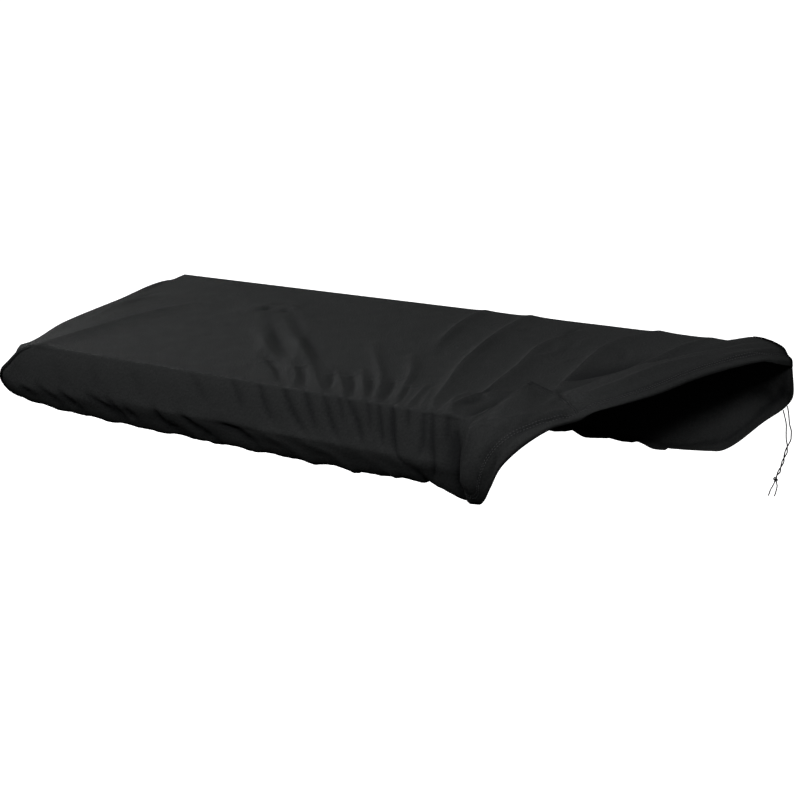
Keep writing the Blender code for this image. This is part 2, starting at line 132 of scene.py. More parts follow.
# drawcord: two strands from the hem into one knot, and a tail of each below it
cordSizes = {
    "radius": 1.0,
    "sides": 10,
    "ringStep": 0.55,
    "braidDepth": 0.09,  # share of the radius
    "braidPitch": 4.4,
    "startSide": (0.3, 1.0, 0.2),  # a direction that no cord starts in
    "marks": 40,
    "exits": {"a": (1170.2, 455.9, 62.7), "b": (1164.3, 454.9, 56.2)},
}
cordRoutes = {
    "a": (
        (1170.2, 455.9, 62.7), (1171.9, 458.0, 50.0), (1173.0, 459.6, 37.0), (1176.4, 460.2, 24.0),
        (1176.2, 460.8, 14.0), (1172.4, 461.3, 4.0), (1168.9, 459.9, -5.0), (1168.2, 457.9, -13.0),
        (1167.7, 459.4, -21.0), (1164.1, 461.1, -29.0), (1159.8, 459.6, -37.0), (1157.8, 457.9, -46.6),
        (1155.1, 458.9, -55.0), (1152.6, 458.6, -61.0), (1148.8, 459.0, -69.0), (1146.2, 459.6, -77.4),
    ),
    "b": (
        (1164.3, 454.9, 56.2), (1166.4, 457.2, 46.0), (1168.8, 458.4, 34.0), (1169.4, 458.2, 22.0),
        (1170.4, 457.7, 12.0), (1172.4, 457.6, 3.0), (1172.1, 459.4, -6.0), (1168.4, 461.1, -14.0),
        (1164.7, 459.6, -22.0), (1164.0, 457.9, -30.0), (1162.7, 459.5, -38.0), (1156.6, 461.3, -46.6),
        (1157.6, 460.2, -55.1), (1158.6, 460.6, -61.0), (1157.2, 460.8, -69.0), (1155.4, 460.2, -77.0),
    ),
}
knotSizes = {
    "centre": (1156.4, 459.5, -51.0),
    "size": (7.0, 6.0, 8.0),
    "steps": 96,
    "lean": 25.0,  # degrees
}


def linkMesh(name, mesh):
    data = bpy.data.meshes.new(name)
    mesh.to_mesh(data)
    mesh.free()
    data.shade_smooth()
    thing = bpy.data.objects.new(name, data)
    bpy.context.scene.collection.objects.link(thing)
    return thing


def braidedTube(name, path, closed=False):
    # a round tube along the path whose surface is crossed both ways by the braid's strands
    sizes = cordSizes
    path = np.asarray(path, float)
    sides, steps = sizes["sides"], len(path)
    mesh = bmesh.new()
    turnLayer = mesh.verts.layers.int.new("turn")
    stepLayer = mesh.verts.layers.int.new("step")
    ring = bmesh.ops.create_circle(mesh, segments=sides, radius=1.0)["verts"]
    for i, vert in enumerate(ring):
        vert[turnLayer] = i
    firstRing = mesh.edges[:]
    edges = firstRing
    for step in range(1, steps):
        grown = bmesh.ops.extrude_edge_only(mesh, edges=edges)["geom"]
        for item in grown:
            if isinstance(item, bmesh.types.BMVert):
                item[stepLayer] = step
        edges = [
            item for item in grown
            if isinstance(item, bmesh.types.BMEdge)
            and item.verts[0][stepLayer] == item.verts[1][stepLayer]
        ]
    if closed:
        bmesh.ops.bridge_loops(mesh, edges=firstRing + edges)
    else:
        bmesh.ops.contextual_create(mesh, geom=firstRing)
        bmesh.ops.contextual_create(mesh, geom=edges)
    if closed:
        along = np.roll(path, -1, axis=0) - np.roll(path, 1, axis=0)
    else:
        along = np.gradient(path, axis=0)
    along /= np.linalg.norm(along, axis=1)[:, None]
    side = np.cross(along[0], sizes["startSide"])
    sideways, upwards = [], []
    for direction in along:
        side = side - direction * side.dot(direction)
        side /= np.linalg.norm(side)
        sideways.append(side)
        upwards.append(np.cross(direction, side))
    lengths = walkedAlong(path)
    for vert in mesh.verts:
        step, angle = vert[stepLayer], 2 * pi * vert[turnLayer] / sides
        twist = 2 * pi * lengths[step] / sizes["braidPitch"]
        braid = abs(sin(2 * angle + twist)) * abs(sin(2 * angle - twist))
        radius = sizes["radius"] * (1 - sizes["braidDepth"] * (1 - braid))
        place = path[step] + radius * (cos(angle) * sideways[step] + sin(angle) * upwards[step])
        vert.co = toModel(place)
    bmesh.ops.recalc_face_normals(mesh, faces=mesh.faces)
    return linkMesh(name, mesh)


def buildCord(letter):
    route = cordRoutes[letter]
    length = sum(np.linalg.norm(np.subtract(b, a)) for a, b in zip(route, route[1:]))
    steps = int(length / cordSizes["ringStep"])
    path = curveThrough(route)(np.linspace(0, 1, steps))
    cord = braidedTube("drawcord_" + letter, path)
    marks = toModel(curveThrough(route)(np.linspace(0, 1, cordSizes["marks"])))
    return cord, [tuple(mark) for mark in marks], length


def buildKnot(sizes):
    # an overhand knot drawn tight, which is a trefoil
    turns = np.linspace(0, 2 * pi, sizes["steps"], endpoint=False)
    trefoil = np.stack((
        (np.sin(turns) + 2 * np.sin(2 * turns)) / 3,
        np.sin(3 * turns) / 1.3,
        (np.cos(turns) - 2 * np.cos(2 * turns)) / 3,
    ), axis=1)
    lean = radians(sizes["lean"])
    tilt = np.array(((cos(lean), 0, sin(lean)), (0, 1, 0), (-sin(lean), 0, cos(lean))))
    path = trefoil @ tilt.T
    low, high = path.min(axis=0), path.max(axis=0)
    path = (path - (high + low) / 2) / ((high - low) / 2)
    reach = np.array(sizes["size"]) / 2 - cordSizes["radius"]
    return braidedTube("knot_of_drawcord", np.array(sizes["centre"]) + path * reach, closed=True)


cordA, pathA, lengthA = buildCord("a")
cordB, pathB, lengthB = buildCord("b")
knot = buildKnot(knotSizes)
for piece in (cordA, cordB, knot):
    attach(piece, "root")
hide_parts("strand_a", "tail_a")
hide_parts("strand_b", "tail_b")
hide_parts("knot")
print("drawcord: two cords of", round(lengthA), "and", round(lengthB), "mm")


# the cover's panels
coverSizes = {
    "sheet": 1.4,
    "columns": 310,
    "rows": 88,
    "rings": 26,
    "frontTop": (-8.0, 99.0),  # y and z of the front top edge
    "backTop": (411.0, 159.0),
    "leftTip": 68.0,  # the sewn corner at the front left sits this far in from the end
    "flapX": 933.0,  # the cloth leaves the front edge here, and the flap begins
    "rightShape": 8,  # the higher, the nearer to the right edge its bends stay
    "crestReach": 9.0,  # distance in which the right edge's lift dies away
    "crestPoints": 81,
    "edgePoints": 400,
    "endRounding": 1.3,
    "seamCurve": 0.8,  # below 1 the left edge bulges
    "hemTurn": 0.87,  # share of the flap's section at which its hem turns in
    "hemInward": (0.0, 4.0, -4.5),
    "keelZ": -8.0,  # height at which the skirts turn in under the form
    "underShare": 0.6,  # share of a front section at which it reaches its foot
}
topSlope = (
    (coverSizes["backTop"][1] - coverSizes["frontTop"][1])
    / (coverSizes["backTop"][0] - coverSizes["frontTop"][0])
)

Ring = namedtuple("Ring", "share y z")
frontProfile = (
    Ring(0.00, -8, 99),
    Ring(0.14, -13, 80),
    Ring(0.30, -16, 56),
    Ring(0.46, -17, 31),
    Ring(0.60, -8, 11),
    Ring(0.74, 5, -8),
    Ring(0.87, 22, -10),
    Ring(1.00, 39, -7),
)
backProfile = (
    Ring(0.00, 411, 159),
    Ring(0.14, 421, 134),
    Ring(0.30, 440, 95),
    Ring(0.46, 457, 58),
    Ring(0.60, 440, 28),
    Ring(0.74, 413, -7),
    Ring(0.87, 395, -10),
    Ring(1.00, 378, -8),
)
Side = namedtuple("Side", "share x drop")
leftProfile = (
    Side(0.14, 1, 0.00),
    Side(0.30, -10, 0.22),
    Side(0.46, -16, 0.50),
    Side(0.60, -12, 0.78),
    Side(0.74, 3, 1.00),
    Side(0.87, 19, 1.03),
    Side(1.00, 35, 1.00),
)
leftPlaces = (0.08, 0.3, 0.6, 0.9)
KeelPart = namedtuple("KeelPart", "share part")
keelParts = (
    KeelPart(0.00, 0.0),
    KeelPart(0.50, 0.0),
    KeelPart(0.74, 1.0),
    KeelPart(1.00, 0.75),
)
Front = namedtuple("Front", "x foot keel")
frontRows = (
    Front(84, 28, 1),
    Front(110, 76, -4),
    Front(170, 156, -7),
    Front(340, 338, -9),
    Front(740, 740, -8),
    Front(841, 843, -4),
    Front(880, 882, -11),
    Front(908, 910, -18),
    Front(921, 922, -19),
)
# sections across the flap, from its upper edge to the hem
Flap = namedtuple("Flap", "along edge shoulder belly hem")
flapRows = (
    Flap(0.000, (933, -8, 99), (929, -19, 80), (925, -24, 30), (926, -5, -15)),
    Flap(0.022, (938, 0, 104), (934, -24, 82), (930, -31, 26), (935, -9, -13)),
    Flap(0.062, (943, 19, 110), (941, -28, 87), (940, -37, 24), (946, -11, -11)),
    Flap(0.105, (947, 38, 115), (950, -23, 98), (951, -39, 36), (957, -16, -2)),
    Flap(0.145, (949, 55, 120), (961, -9, 109), (968, -36, 62), (972, -24, 20)),
    Flap(0.182, (950, 72, 125), (971, 15, 117), (985, -25, 91), (989, -28, 49)),
    Flap(0.218, (951, 89, 130), (984, 48, 120), (1009, 5, 110), (1018, -15, 82)),
    Flap(0.250, (952, 104, 133), (991, 76, 119), (1024, 43, 113), (1044, 14, 103)),
    Flap(0.300, (996, 107, 119), (1015, 93, 118), (1040, 68, 115), (1063, 45, 109)),
)
# the end panel, pulled up onto the top as a band
Band = namedtuple("Band", "along crest lift hem hemLift")
bandRows = (
    Band(0.325, (1008, 119), 9, (1073, 69), 4),
    Band(0.360, (1024, 139), 14, (1087, 98), 4),
    Band(0.480, (1051, 194), 20, (1115, 165), 4),
    Band(0.635, (1077, 258), 21, (1133, 236), 4),
    Band(0.790, (1100, 322), 20, (1158, 300), 3),
    Band(0.893, (1116, 366), 16, (1180, 342), 1),
    Band(0.960, (1126, 395), 12, (1190, 380), -12),
)
Round = namedtuple("Round", "out height")
bandRound = (
    Round(0.00, 1.00),
    Round(0.15, 1.04),
    Round(0.33, 0.98),
    Round(0.52, 0.84),
    Round(0.70, 0.62),
    Round(0.86, 0.38),
    Round(1.00, 0.12),
    Round(0.98, -0.16),
)
Back = namedtuple("Back", "along edge foot reach")
backRows = (
    Back(0.030, 30, 58, 1.00),
    Back(0.100, 108, 116, 1.00),
    Back(0.300, 345, 345, 1.00),
    Back(0.820, 935, 938, 1.00),
    Back(0.872, 992, 1018, 0.97),
    Back(0.906, 1028, 1084, 0.78),
    Back(0.938, 1062, 1140, 0.56),
    Back(0.965, 1092, 1171, 0.43),
    Back(0.984, 1112, 1184, 0.33),
)
frontLeftSeam = (
    (68, -8, 99), (44, -14, 88), (20, -17, 68), (-3, -16, 50),
    (-11, -11, 33), (-7, 0, 14), (10, 14, 1), (38, 32, -4),
)
backLeftSeam = (
    (4, 411, 159), (-4, 419, 138), (-12, 437, 100), (-15, 455, 63),
    (-11, 440, 30), (4, 410, -6), (20, 394, -9), (36, 378, -8),
)
backRightSeam = (
    (1130, 411, 168), (1148, 413, 166), (1163, 414, 162), (1174, 415, 157),
    (1181, 416, 150), (1185, 418, 143), (1187, 421, 136), (1188, 425, 129),
)
Outline = namedtuple("Outline", "y below ridge")
leftOutline = (
    Outline(-8, 24, 68),
    Outline(33, 16, 78),
    Outline(59, 12, 85),
    Outline(113, 6, 100),
    Outline(205, 3, 123),
    Outline(302, 1, 110),
    Outline(411, 0, 80),
)

ringShares = [ring.share for ring in frontProfile]
readFront = smoothLine(ringShares, [(ring.y, ring.z) for ring in frontProfile])
readBack = smoothLine(ringShares, [(ring.y, ring.z) for ring in backProfile])
readBand = smoothLine(ringShares, [(step.out, step.height) for step in bandRound])
readKeel = smoothLine([part.share for part in keelParts], [part.part for part in keelParts])
readOutline = smoothLine([row.y for row in leftOutline], [(row.below, row.ridge) for row in leftOutline])


def topPlane(y):
    return coverSizes["frontTop"][1] + (y - coverSizes["frontTop"][0]) * topSlope


def endFall(x, y):
    # how far the top falls between its left ridge and the end
    below, ridge = np.moveaxis(readOutline(y), -1, 0)
    return -below * np.maximum(1 - x / ridge, 0.0) ** coverSizes["endRounding"]


def frontEdge(along):
    x = coverSizes["leftTip"] + (coverSizes["flapX"] - coverSizes["leftTip"]) * np.asarray(along, float)
    return np.stack((x, *(np.full_like(x, value) for value in coverSizes["frontTop"])), axis=-1)


def leftEdge(along):
    start, end = frontLeftSeam[0], backLeftSeam[0]
    along = np.asarray(along, float)
    x = start[0] + (end[0] - start[0]) * along ** coverSizes["seamCurve"]
    y = start[1] + (end[1] - start[1]) * along
    return np.stack((x, y, topPlane(y) + endFall(x, y)), axis=-1)


rightEdge = smoothLine(
    [row.along for row in flapRows] + [row.along for row in bandRows] + [1.0],
    [row.edge for row in flapRows]
    + [(*row.crest, topPlane(row.crest[1]) + row.lift) for row in bandRows]
    + [backRightSeam[0]],
)
backEdge = smoothLine(
    [0.0] + [row.along for row in backRows] + [1.0],
    [backLeftSeam[0]] + [(row.edge, *coverSizes["backTop"]) for row in backRows] + [backRightSeam[0]],
)


def frontSection(row):
    def section(share):
        y, z = readFront(share)
        shift = min(share / coverSizes["underShare"], 1.0) ** coverSizes["endRounding"]
        sag = readKeel(share)[0]
        return row.x + (row.foot - row.x) * shift, y, z + (row.keel - coverSizes["keelZ"]) * sag

    return section


def backSection(row):
    def section(share):
        y, z = readBack(share * row.reach)
        return row.edge + (row.foot - row.edge) * share, y, z

    return section


def leftSection(along):
    edge = leftEdge(along)
    high = topPlane(edge[1]) - readOutline(edge[1])[0]
    places = smoothLine([0.0] + [row.share for row in leftProfile],
                        [(edge[0], 0.0)] + [(row.x, row.drop) for row in leftProfile])
    footY = frontLeftSeam[-1][1] + along * (backLeftSeam[-1][1] - frontLeftSeam[-1][1])

    def section(share):
        x, drop = places(share)
        z = edge[2] if share == 0 else high - (high - coverSizes["keelZ"]) * drop
        return x, edge[1] + (footY - edge[1]) * share ** 2, z

    return section


def bandSection(row):
    crest, hem = np.array(row.crest, float), np.array(row.hem, float)

    def section(share):
        out, height = readBand(share)
        x, y = crest + (hem - crest) * out
        return x, y, topPlane(y) + row.hemLift + (row.lift - row.hemLift) * height

    return section


def flapSection(row):
    curve = curveThrough((row.edge, row.shoulder, row.belly, row.hem))
    turn = coverSizes["hemTurn"]

    def section(share):
        return curve(share / turn) if share <= turn else curve(1.0) + coverSizes["hemInward"]

    return section


def joinSections(sections):
    return smoothLine([along for along, section in sections], [
        [value for share in ringShares for value in section(share)] for along, section in sections
    ])


def skirts():
    # the four skirts, each read by the place along it: the points from its edge to its hem
    length = coverSizes["flapX"] - coverSizes["leftTip"]
    corners = [smoothLine(ringShares, seam) for seam in (frontLeftSeam, backLeftSeam, backRightSeam)]
    frontLeft, backLeft, backRight = corners
    front = [((row.x - coverSizes["leftTip"]) / length, frontSection(row)) for row in frontRows]
    flap = [(row.along, flapSection(row)) for row in flapRows]
    band = [(row.along, bandSection(row)) for row in bandRows]
    back = [(row.along, backSection(row)) for row in backRows]
    left = [(along, leftSection(along)) for along in leftPlaces]
    return {
        "front": joinSections([(0.0, frontLeft)] + front + [(1.0, flap[0][1])]),
        "right": joinSections(flap + band + [(1.0, backRight)]),
        "back": joinSections([(0.0, backLeft)] + back + [(1.0, backRight)]),
        "left": joinSections([(0.0, frontLeft)] + left + [(1.0, backLeft)]),
    }


# creases: where each runs in the flat cloth, its height (a trough is below 0), and its width
# on each side. Right is towards the pulled-up end, or towards the front for a crease that runs
# along the cover. The front face goes on below t = -8 as the cloth does.
Crease = namedtuple("Crease", "path height left right")
mainFolds = (
    Crease(((80, -26), (92, 22), (105, 80), (117, 140), (128, 192), (142, 240)), 8.0, 5, 24),
    Crease(((15, 136), (18, 193), (32, 228), (48, 274)), 6.5, 5, 16),
    Crease(((308, 299), (398, 204), (478, 79)), 4.0, 18, 30),
    Crease(((355, 304), (460, 211), (570, 46)), 5.0, 16, 32),
    Crease(((669, 405), (683, 318), (708, 231)), 7.5, 8, 16),
    Crease((
        (755, 405), (764, 314), (773, 267), (784, 220), (795, 173), (814, 121),
        (832, 74), (846, 31), (863, 0),
    ), 9.5, 9, 20),
    Crease((
        (871, 357), (860, 301), (860, 270), (870, 228), (881, 185), (887, 149), (893, 110), (896, 76),
        (890, 52), (883, 36), (891, 5), (898, -10),
    ), 10.0, 8, 20),
    Crease((
        (981, 405), (962, 355), (953, 330), (952, 296), (959, 249), (968, 204), (974, 161), (989, 102),
    ), 10.0, 8, 22),
    Crease(((1067, 405), (1051, 343), (1046, 304), (1034, 274), (1031, 235)), 7.0, 8, 10),
    # the step behind which the form's back part lifts the cloth
    Crease(((440, 233), (500, 237), (583, 241), (655, 238), (706, 236), (760, 237)), 3.4, 70, 52),
)
topCreases = (
    # the two arcs where the cloth leaves the form's raised back part, the pits in front of them,
    # and the folds that run from the pits
    Crease(((288, 262), (294, 285), (305, 301), (328, 300)), 2.8, 24, 10),
    Crease(((330, 300), (347, 304), (372, 299)), 2.6, 24, 10),
    Crease(((305, 284), (314, 289), (322, 287)), -4.6, 5, 8),
    Crease(((344, 289), (353, 291), (362, 287)), -4.6, 5, 8),
    Crease(((322, 286), (335, 271), (405, 200), (496, 123), (517, 106)), -4.0, 14, 9),
    Crease(((362, 288), (384, 272), (468, 198), (541, 141), (577, 110)), -4.2, 14, 9),
    Crease(((379, 196), (460, 123), (512, 87)), 2.2, 8, 10),
    Crease(((394, 245), (466, 177), (518, 139), (586, 80), (655, 14), (680, -6)), 2.8, 7, 11),
    # short pockets that run into the front edge, each with a sharp cap at its upper end
    Crease(((494, 84), (545, 50), (579, 14)), -3.4, 9, 5),
    Crease(((496, 69), (510, 81)), 1.7, 6, 3),
    Crease(((565, 81), (600, 47), (632, 8)), -3.6, 10, 5),
    Crease(((565, 64), (582, 80)), 1.8, 6, 3),
    Crease(((628, 78), (652, 48), (672, 15)), -3.0, 8, 4),
    Crease(((629, 62), (643, 74)), 1.4, 6, 3),
    Crease(((660, 82), (692, 47), (722, 5)), -3.6, 8, 5),
    Crease(((663, 64), (674, 82)), 1.6, 6, 3),
    Crease(((702, 77), (728, 46), (750, 12)), -3.2, 8, 4),
    Crease(((705, 60), (715, 75)), 1.4, 5, 3),
    Crease(((735, 86), (757, 50), (777, 6)), -3.6, 9, 5),
    Crease(((734, 67), (752, 86)), 1.8, 6, 3),
    Crease(((771, 74), (788, 42), (804, 5)), -3.0, 7, 4),
    Crease(((775, 57), (785, 71)), 1.2, 5, 3),
    # the ridges between the pockets
    Crease(((560, 68), (596, 32), (614, 2)), 1.6, 5, 6),
    Crease(((636, 77), (680, 34), (717, -6)), 2.2, 5, 5),
    Crease(((668, 98), (711, 45), (750, -4)), 3.0, 6, 6),
    Crease(((608, 201), (674, 126), (721, 73), (750, 26), (772, -6)), 3.6, 7, 8),
    Crease(((697, 178), (744, 114), (774, 57), (800, 4), (806, -6)), 4.6, 7, 9),
    Crease(((797, 79), (811, 40), (825, -5)), 3.4, 5, 6),
    Crease(((814, 68), (846, -3)), 2.4, 5, 7),
    Crease(((871, 70), (872, 48), (876, 16), (880, -6)), 3.2, 5, 7),
    Crease(((870, 51), (890, -4)), 2.0, 5, 7),
    Crease(((927, 99), (909, 77), (893, 55)), 3.4, 6, 8),
    Crease(((897, 94), (900, 62), (895, 30)), -4.2, 8, 9),
    # small crumples between the long ridges
    Crease(((872, 325), (890, 282), (893, 262), (882, 232)), 2.8, 6, 9),
    Crease(((861, 385), (859, 357), (879, 319)), -2.6, 5, 7),
    Crease(((901, 339), (905, 318), (912, 298)), 2.4, 5, 8),
    Crease(((930, 255), (925, 245), (917, 234)), 2.2, 6, 7),
    Crease(((779, 348), (789, 326)), 1.6, 4, 5),
    Crease(((766, 305), (782, 265), (796, 201)), -1.8, 8, 14),
    Crease(((697, 304), (713, 244), (739, 184)), -1.6, 8, 12),
    Crease(((24, 212), (32, 252), (40, 290)), -2.0, 5, 8),
    Crease(((980, 305), (992, 285), (997, 267)), -1.8, 5, 6),
    # the top sinks beside the band's folded edge
    Crease(((979, 159), (999, 209), (1023, 262), (1038, 300)), -6.5, 14, 5),
    # and beside the flap's folded edge
    Crease(((926, 4), (931, 30), (936, 54), (938, 78)), -5.0, 11, 5),
)
faceCreases = (
    Crease(((120, -30), (150, -66)), -1.0, 6, 9),
    Crease(((210, -24), (232, -70)), -1.0, 6, 9),
    Crease(((300, -20), (332, -70)), -1.2, 6, 9),
    Crease(((424, -10), (464, -49)), -1.8, 5, 8),
    Crease(((504, -6), (534, -52)), -2.6, 4, 7),
    Crease(((556, -4), (582, -49), (601, -66)), -3.4, 4, 6),
    Crease(((602, -4), (627, -42), (657, -72)), -4.2, 4, 6),
    Crease(((643, -4), (661, -40), (676, -66)), -3.8, 4, 6),
    Crease(((677, -4), (699, -47), (717, -73)), -3.8, 4, 6),
    Crease(((704, -4), (722, -43)), -2.8, 4, 5),
    Crease(((718, -4), (745, -40), (758, -74)), -4.0, 4, 6),
    Crease(((757, -4), (769, -45)), -3.0, 4, 5),
    Crease(((776, -4), (784, -34), (792, -66)), -3.8, 4, 5),
    Crease(((801, -2), (808, -52), (814, -72), (824, -86)), -5.6, 4, 5),
    Crease(((827, -4), (832, -35)), -3.0, 4, 5),
    Crease(((854, -4), (858, -54), (850, -73)), -3.4, 4, 5),
    Crease(((868, -6), (874, -58), (877, -81), (866, -106)), -4.4, 4, 5),
    Crease(((894, -6), (896, -43)), -3.0, 4, 5),
    Crease(((912, -26), (917, -66), (922, -112)), -7.0, 14, 5),
    # the lower edge of the front face, where the cloth turns in under the form
    Crease(((250, -71), (407, -75), (574, -75), (730, -74), (885, -74)), 3.4, 13, 5),
)
underCreases = (
    Crease(((43, -89), (72, -102)), -3.2, 5, 8),
    Crease(((82, -77), (113, -92), (135, -110)), -3.2, 6, 8),
    Crease(((139, -78), (182, -110)), -4.5, 5, 8),
    Crease(((205, -74), (245, -90), (269, -110)), -5.1, 5, 8),
    Crease(((246, -72), (268, -98), (279, -116)), -4.5, 5, 8),
    Crease(((284, -83), (306, -111)), -4.2, 5, 8),
    Crease(((352, -73), (368, -101), (415, -115)), -6.7, 6, 9),
    Crease(((407, -75), (440, -98), (473, -116)), -6.7, 6, 9),
    Crease(((448, -76), (508, -79), (567, -76)), -2.6, 6, 8),
    Crease(((489, -78), (525, -88), (553, -103)), -5.1, 6, 9),
    Crease(((433, -90), (470, -141)), 2.4, 6, 8),
    Crease(((572, -79), (623, -97), (655, -130)), 2.9, 6, 8),
    Crease(((652, -81), (702, -94), (733, -141)), 2.9, 6, 8),
    Crease(((760, -90), (790, -104), (806, -141)), 2.6, 6, 8),
    Crease(((836, -92), (850, -110), (858, -141)), -3.8, 6, 8),
)
# creases of the right skirt: place along the right edge, and distance down from it
rightCreases = (
    # the flap's long fold from the notch, and what fans out from the notch
    Crease(((156, 72), (138, 92), (120, 105), (99, 103), (84, 91), (60, 68)), 5.8, 4, 5),
    Crease(((150, 86), (130, 112), (104, 118), (84, 106)), -3.8, 6, 6),
    Crease(((157, 2), (150, 30), (132, 48), (116, 78)), 2.9, 4, 6),
    Crease(((141, 22), (128, 32), (114, 36)), -2.6, 7, 7),
    Crease(((158, 10), (175, 13), (186, 25), (202, 50)), 4.2, 4, 5),
    Crease(((158, 22), (172, 28), (186, 44)), -3.8, 5, 6),
    Crease(((153, 44), (172, 50), (196, 68)), 2.9, 4, 6),
    # the band's long creases, the first of which is its folded edge at its far end
    Crease(((312, 1), (350, 6), (381, 11), (438, 19), (468, 20), (496, 25)), -4.5, 4, 9),
    Crease(((190, 34), (212, 29), (239, 31), (279, 27), (309, 25), (339, 26), (379, 32)), 4.2, 5, 6),
    Crease(((200, 46), (240, 44), (290, 40), (350, 40)), -1.6, 6, 8),
    Crease(((403, 45), (439, 52), (470, 66)), 4.5, 4, 6),
    Crease(((452, 48), (478, 49), (502, 51)), 4.2, 4, 5),
    Crease(((426, 30), (460, 36), (498, 40)), -2.6, 6, 7),
    Crease(((440, 60), (470, 70), (500, 76)), -2.6, 5, 6),
    # soft dents in the flap's face
    Crease(((60, 40), (66, 80), (60, 118)), -3.2, 9, 12),
    Crease(((89, 143), (80, 152), (74, 160)), -4.2, 5, 5),
    Crease(((68, 150), (60, 160)), -3.8, 5, 5),
    Crease(((108, 112), (101, 122)), -2.9, 4, 4),
    Crease(((40, 20), (34, 70), (30, 110)), 2.6, 6, 8),
    # the folded edge of the flap, from its peak to the front face
    Crease(((112, 3), (80, 3), (50, 3), (22, 4)), 2.6, 4, 4),
)

Gather = namedtuple("Gather", "length height lean")
gathers = (
    Gather(61.0, 2.2, 0.45),
    Gather(103.0, 2.0, 0.70),
)
puckers = (
    Gather(23.0, 0.7, 0.30),
    Gather(14.5, 0.5, 0.55),
)
clothDetail = {
    "mainPower": 1.25,  # below 2 a fold's crest is sharper than a smooth wave's
    "creasePower": 1.6,
    "facePower": 1.15,  # the front face's creases are sharp
    "fullShadeDepth": 4.5,  # a crease this deep gets the full painted shade
    "topShadeShare": 0.5,  # the top's creases get this share of the front's painted shade
    "creaseEnds": 0.04,  # above 0 a crease keeps some height at its ends
    "fadePower": 0.5,
    "creaseSteps": 14,
    "creaseReach": 3.0,
    "gatherStart": 0.50,
    "gatherTurns": 3.0,
    "gatherOut": 0.6,
    "backGatherEnd": 0.87,
    "flapFade": 0.012,
    "foldFade": 0.015,
    "hemWidth": 20.0,
    "hemPuff": 1.4,
    "stitchRows": (0.0, 4.2),  # the second row is this much nearer to the hem's edge
    "grooveWidth": 2.4,
    "grooveDepth": 0.9,
    # painted shade in the stitch grooves
    "grooveShade": 0.6,
    "pinchWidth": 14.0,
    "pinchShare": 0.6,
    "edgeRounds": 1,
}


# distance of the first stitch row from the hem's edge, by the place along the right edge
Stitch = namedtuple("Stitch", "run distance")
rightStitch = (
    Stitch(0, 20),
    Stitch(45, 20),
    Stitch(58, 30),
    Stitch(72, 40),
    Stitch(90, 36),
    Stitch(110, 30),
    Stitch(150, 24),
    Stitch(190, 20),
    Stitch(600, 20),
)
readStitch = smoothLine([row.run for row in rightStitch], [row.distance for row in rightStitch])


def creaseHeight(s, t, creases, power):
    # the summed height of a list of creases at every point of the flat cloth
    height = np.zeros_like(s)
    ends = clothDetail["creaseEnds"]
    for crease in creases:
        path = curveThrough(crease.path)(np.linspace(0, 1, clothDetail["creaseSteps"]))
        margin = clothDetail["creaseReach"] * max(crease.left, crease.right)
        low, high = path.min(axis=0) - margin, path.max(axis=0) + margin
        near = np.nonzero((s > low[0]) & (s < high[0]) & (t > low[1]) & (t < high[1]))[0]
        if len(near) == 0:
            continue
        points = np.stack((s[near], t[near]), axis=1)
        best = np.full(len(near), np.inf)
        side = np.zeros(len(near))
        share = np.zeros(len(near))
        lengths = np.linalg.norm(np.diff(path, axis=0), axis=1)
        walked = walkedAlong(path)
        run = path[-1] - path[0]
        across = np.array((run[1], -run[0])) / np.linalg.norm(run)
        if across[0] < 0 and abs(across[0]) > abs(across[1]) or across[1] > abs(across[0]):
            across = -across
        for start, stop, length, before in zip(path, path[1:], lengths, walked):
            along = (stop - start) / length
            away = points - start
            place = np.clip(away @ along, 0.0, length)
            away = away - place[:, None] * along
            gap = np.linalg.norm(away, axis=1)
            nearer = gap < best
            best = np.where(nearer, gap, best)
            side = np.where(nearer, away @ across, side)
            share = np.where(nearer, (before + place) / walked[-1], share)
        width = np.where(side > 0, crease.right, crease.left)
        fade = np.sin(pi * (ends + (1 - 2 * ends) * share)) ** clothDetail["fadePower"]
        height[near] += crease.height * fade * np.exp(-(best / width) ** power)
    return height


def waves(place, share, rows):
    return sum(
        row.height * np.sin(2 * pi * (place / row.length + row.lean * share * clothDetail["gatherTurns"]))
        for row in rows
    )


def crestLift(x, y):
    # how far the raised right edge pulls the top up beside it
    edges = rightEdge(np.linspace(0, 1, coverSizes["crestPoints"]))
    lift = np.maximum(edges[:, 2] - topPlane(edges[:, 1]), 0.0)
    away = (x[:, None] - edges[:, 0]) ** 2 + (y[:, None] - edges[:, 1]) ** 2
    return (lift * np.exp(-away / coverSizes["crestReach"] ** 2)).max(axis=1)


def topPoints(u, v):
    # the top panel, spanned between its four edges
    front, back, left, right = frontEdge(u), backEdge(u), leftEdge(v), rightEdge(v)
    nearFront, nearBack = (1 - v)[:, None], v[:, None]
    leftBend = left - nearFront * frontEdge(0) - nearBack * backEdge(0)
    rightBend = right - nearFront * frontEdge(1) - nearBack * backEdge(1)
    shape = (u ** coverSizes["rightShape"])[:, None]
    spots = nearFront * front + nearBack * back + (1 - u)[:, None] * leftBend + shape * rightBend
    x, y = spots[:, 0], spots[:, 1]
    z = topPlane(y) + endFall(x, y) + crestLift(x, y)
    places = np.stack((x, y, z), axis=1)
    places[u == 1] = right[u == 1]
    return places


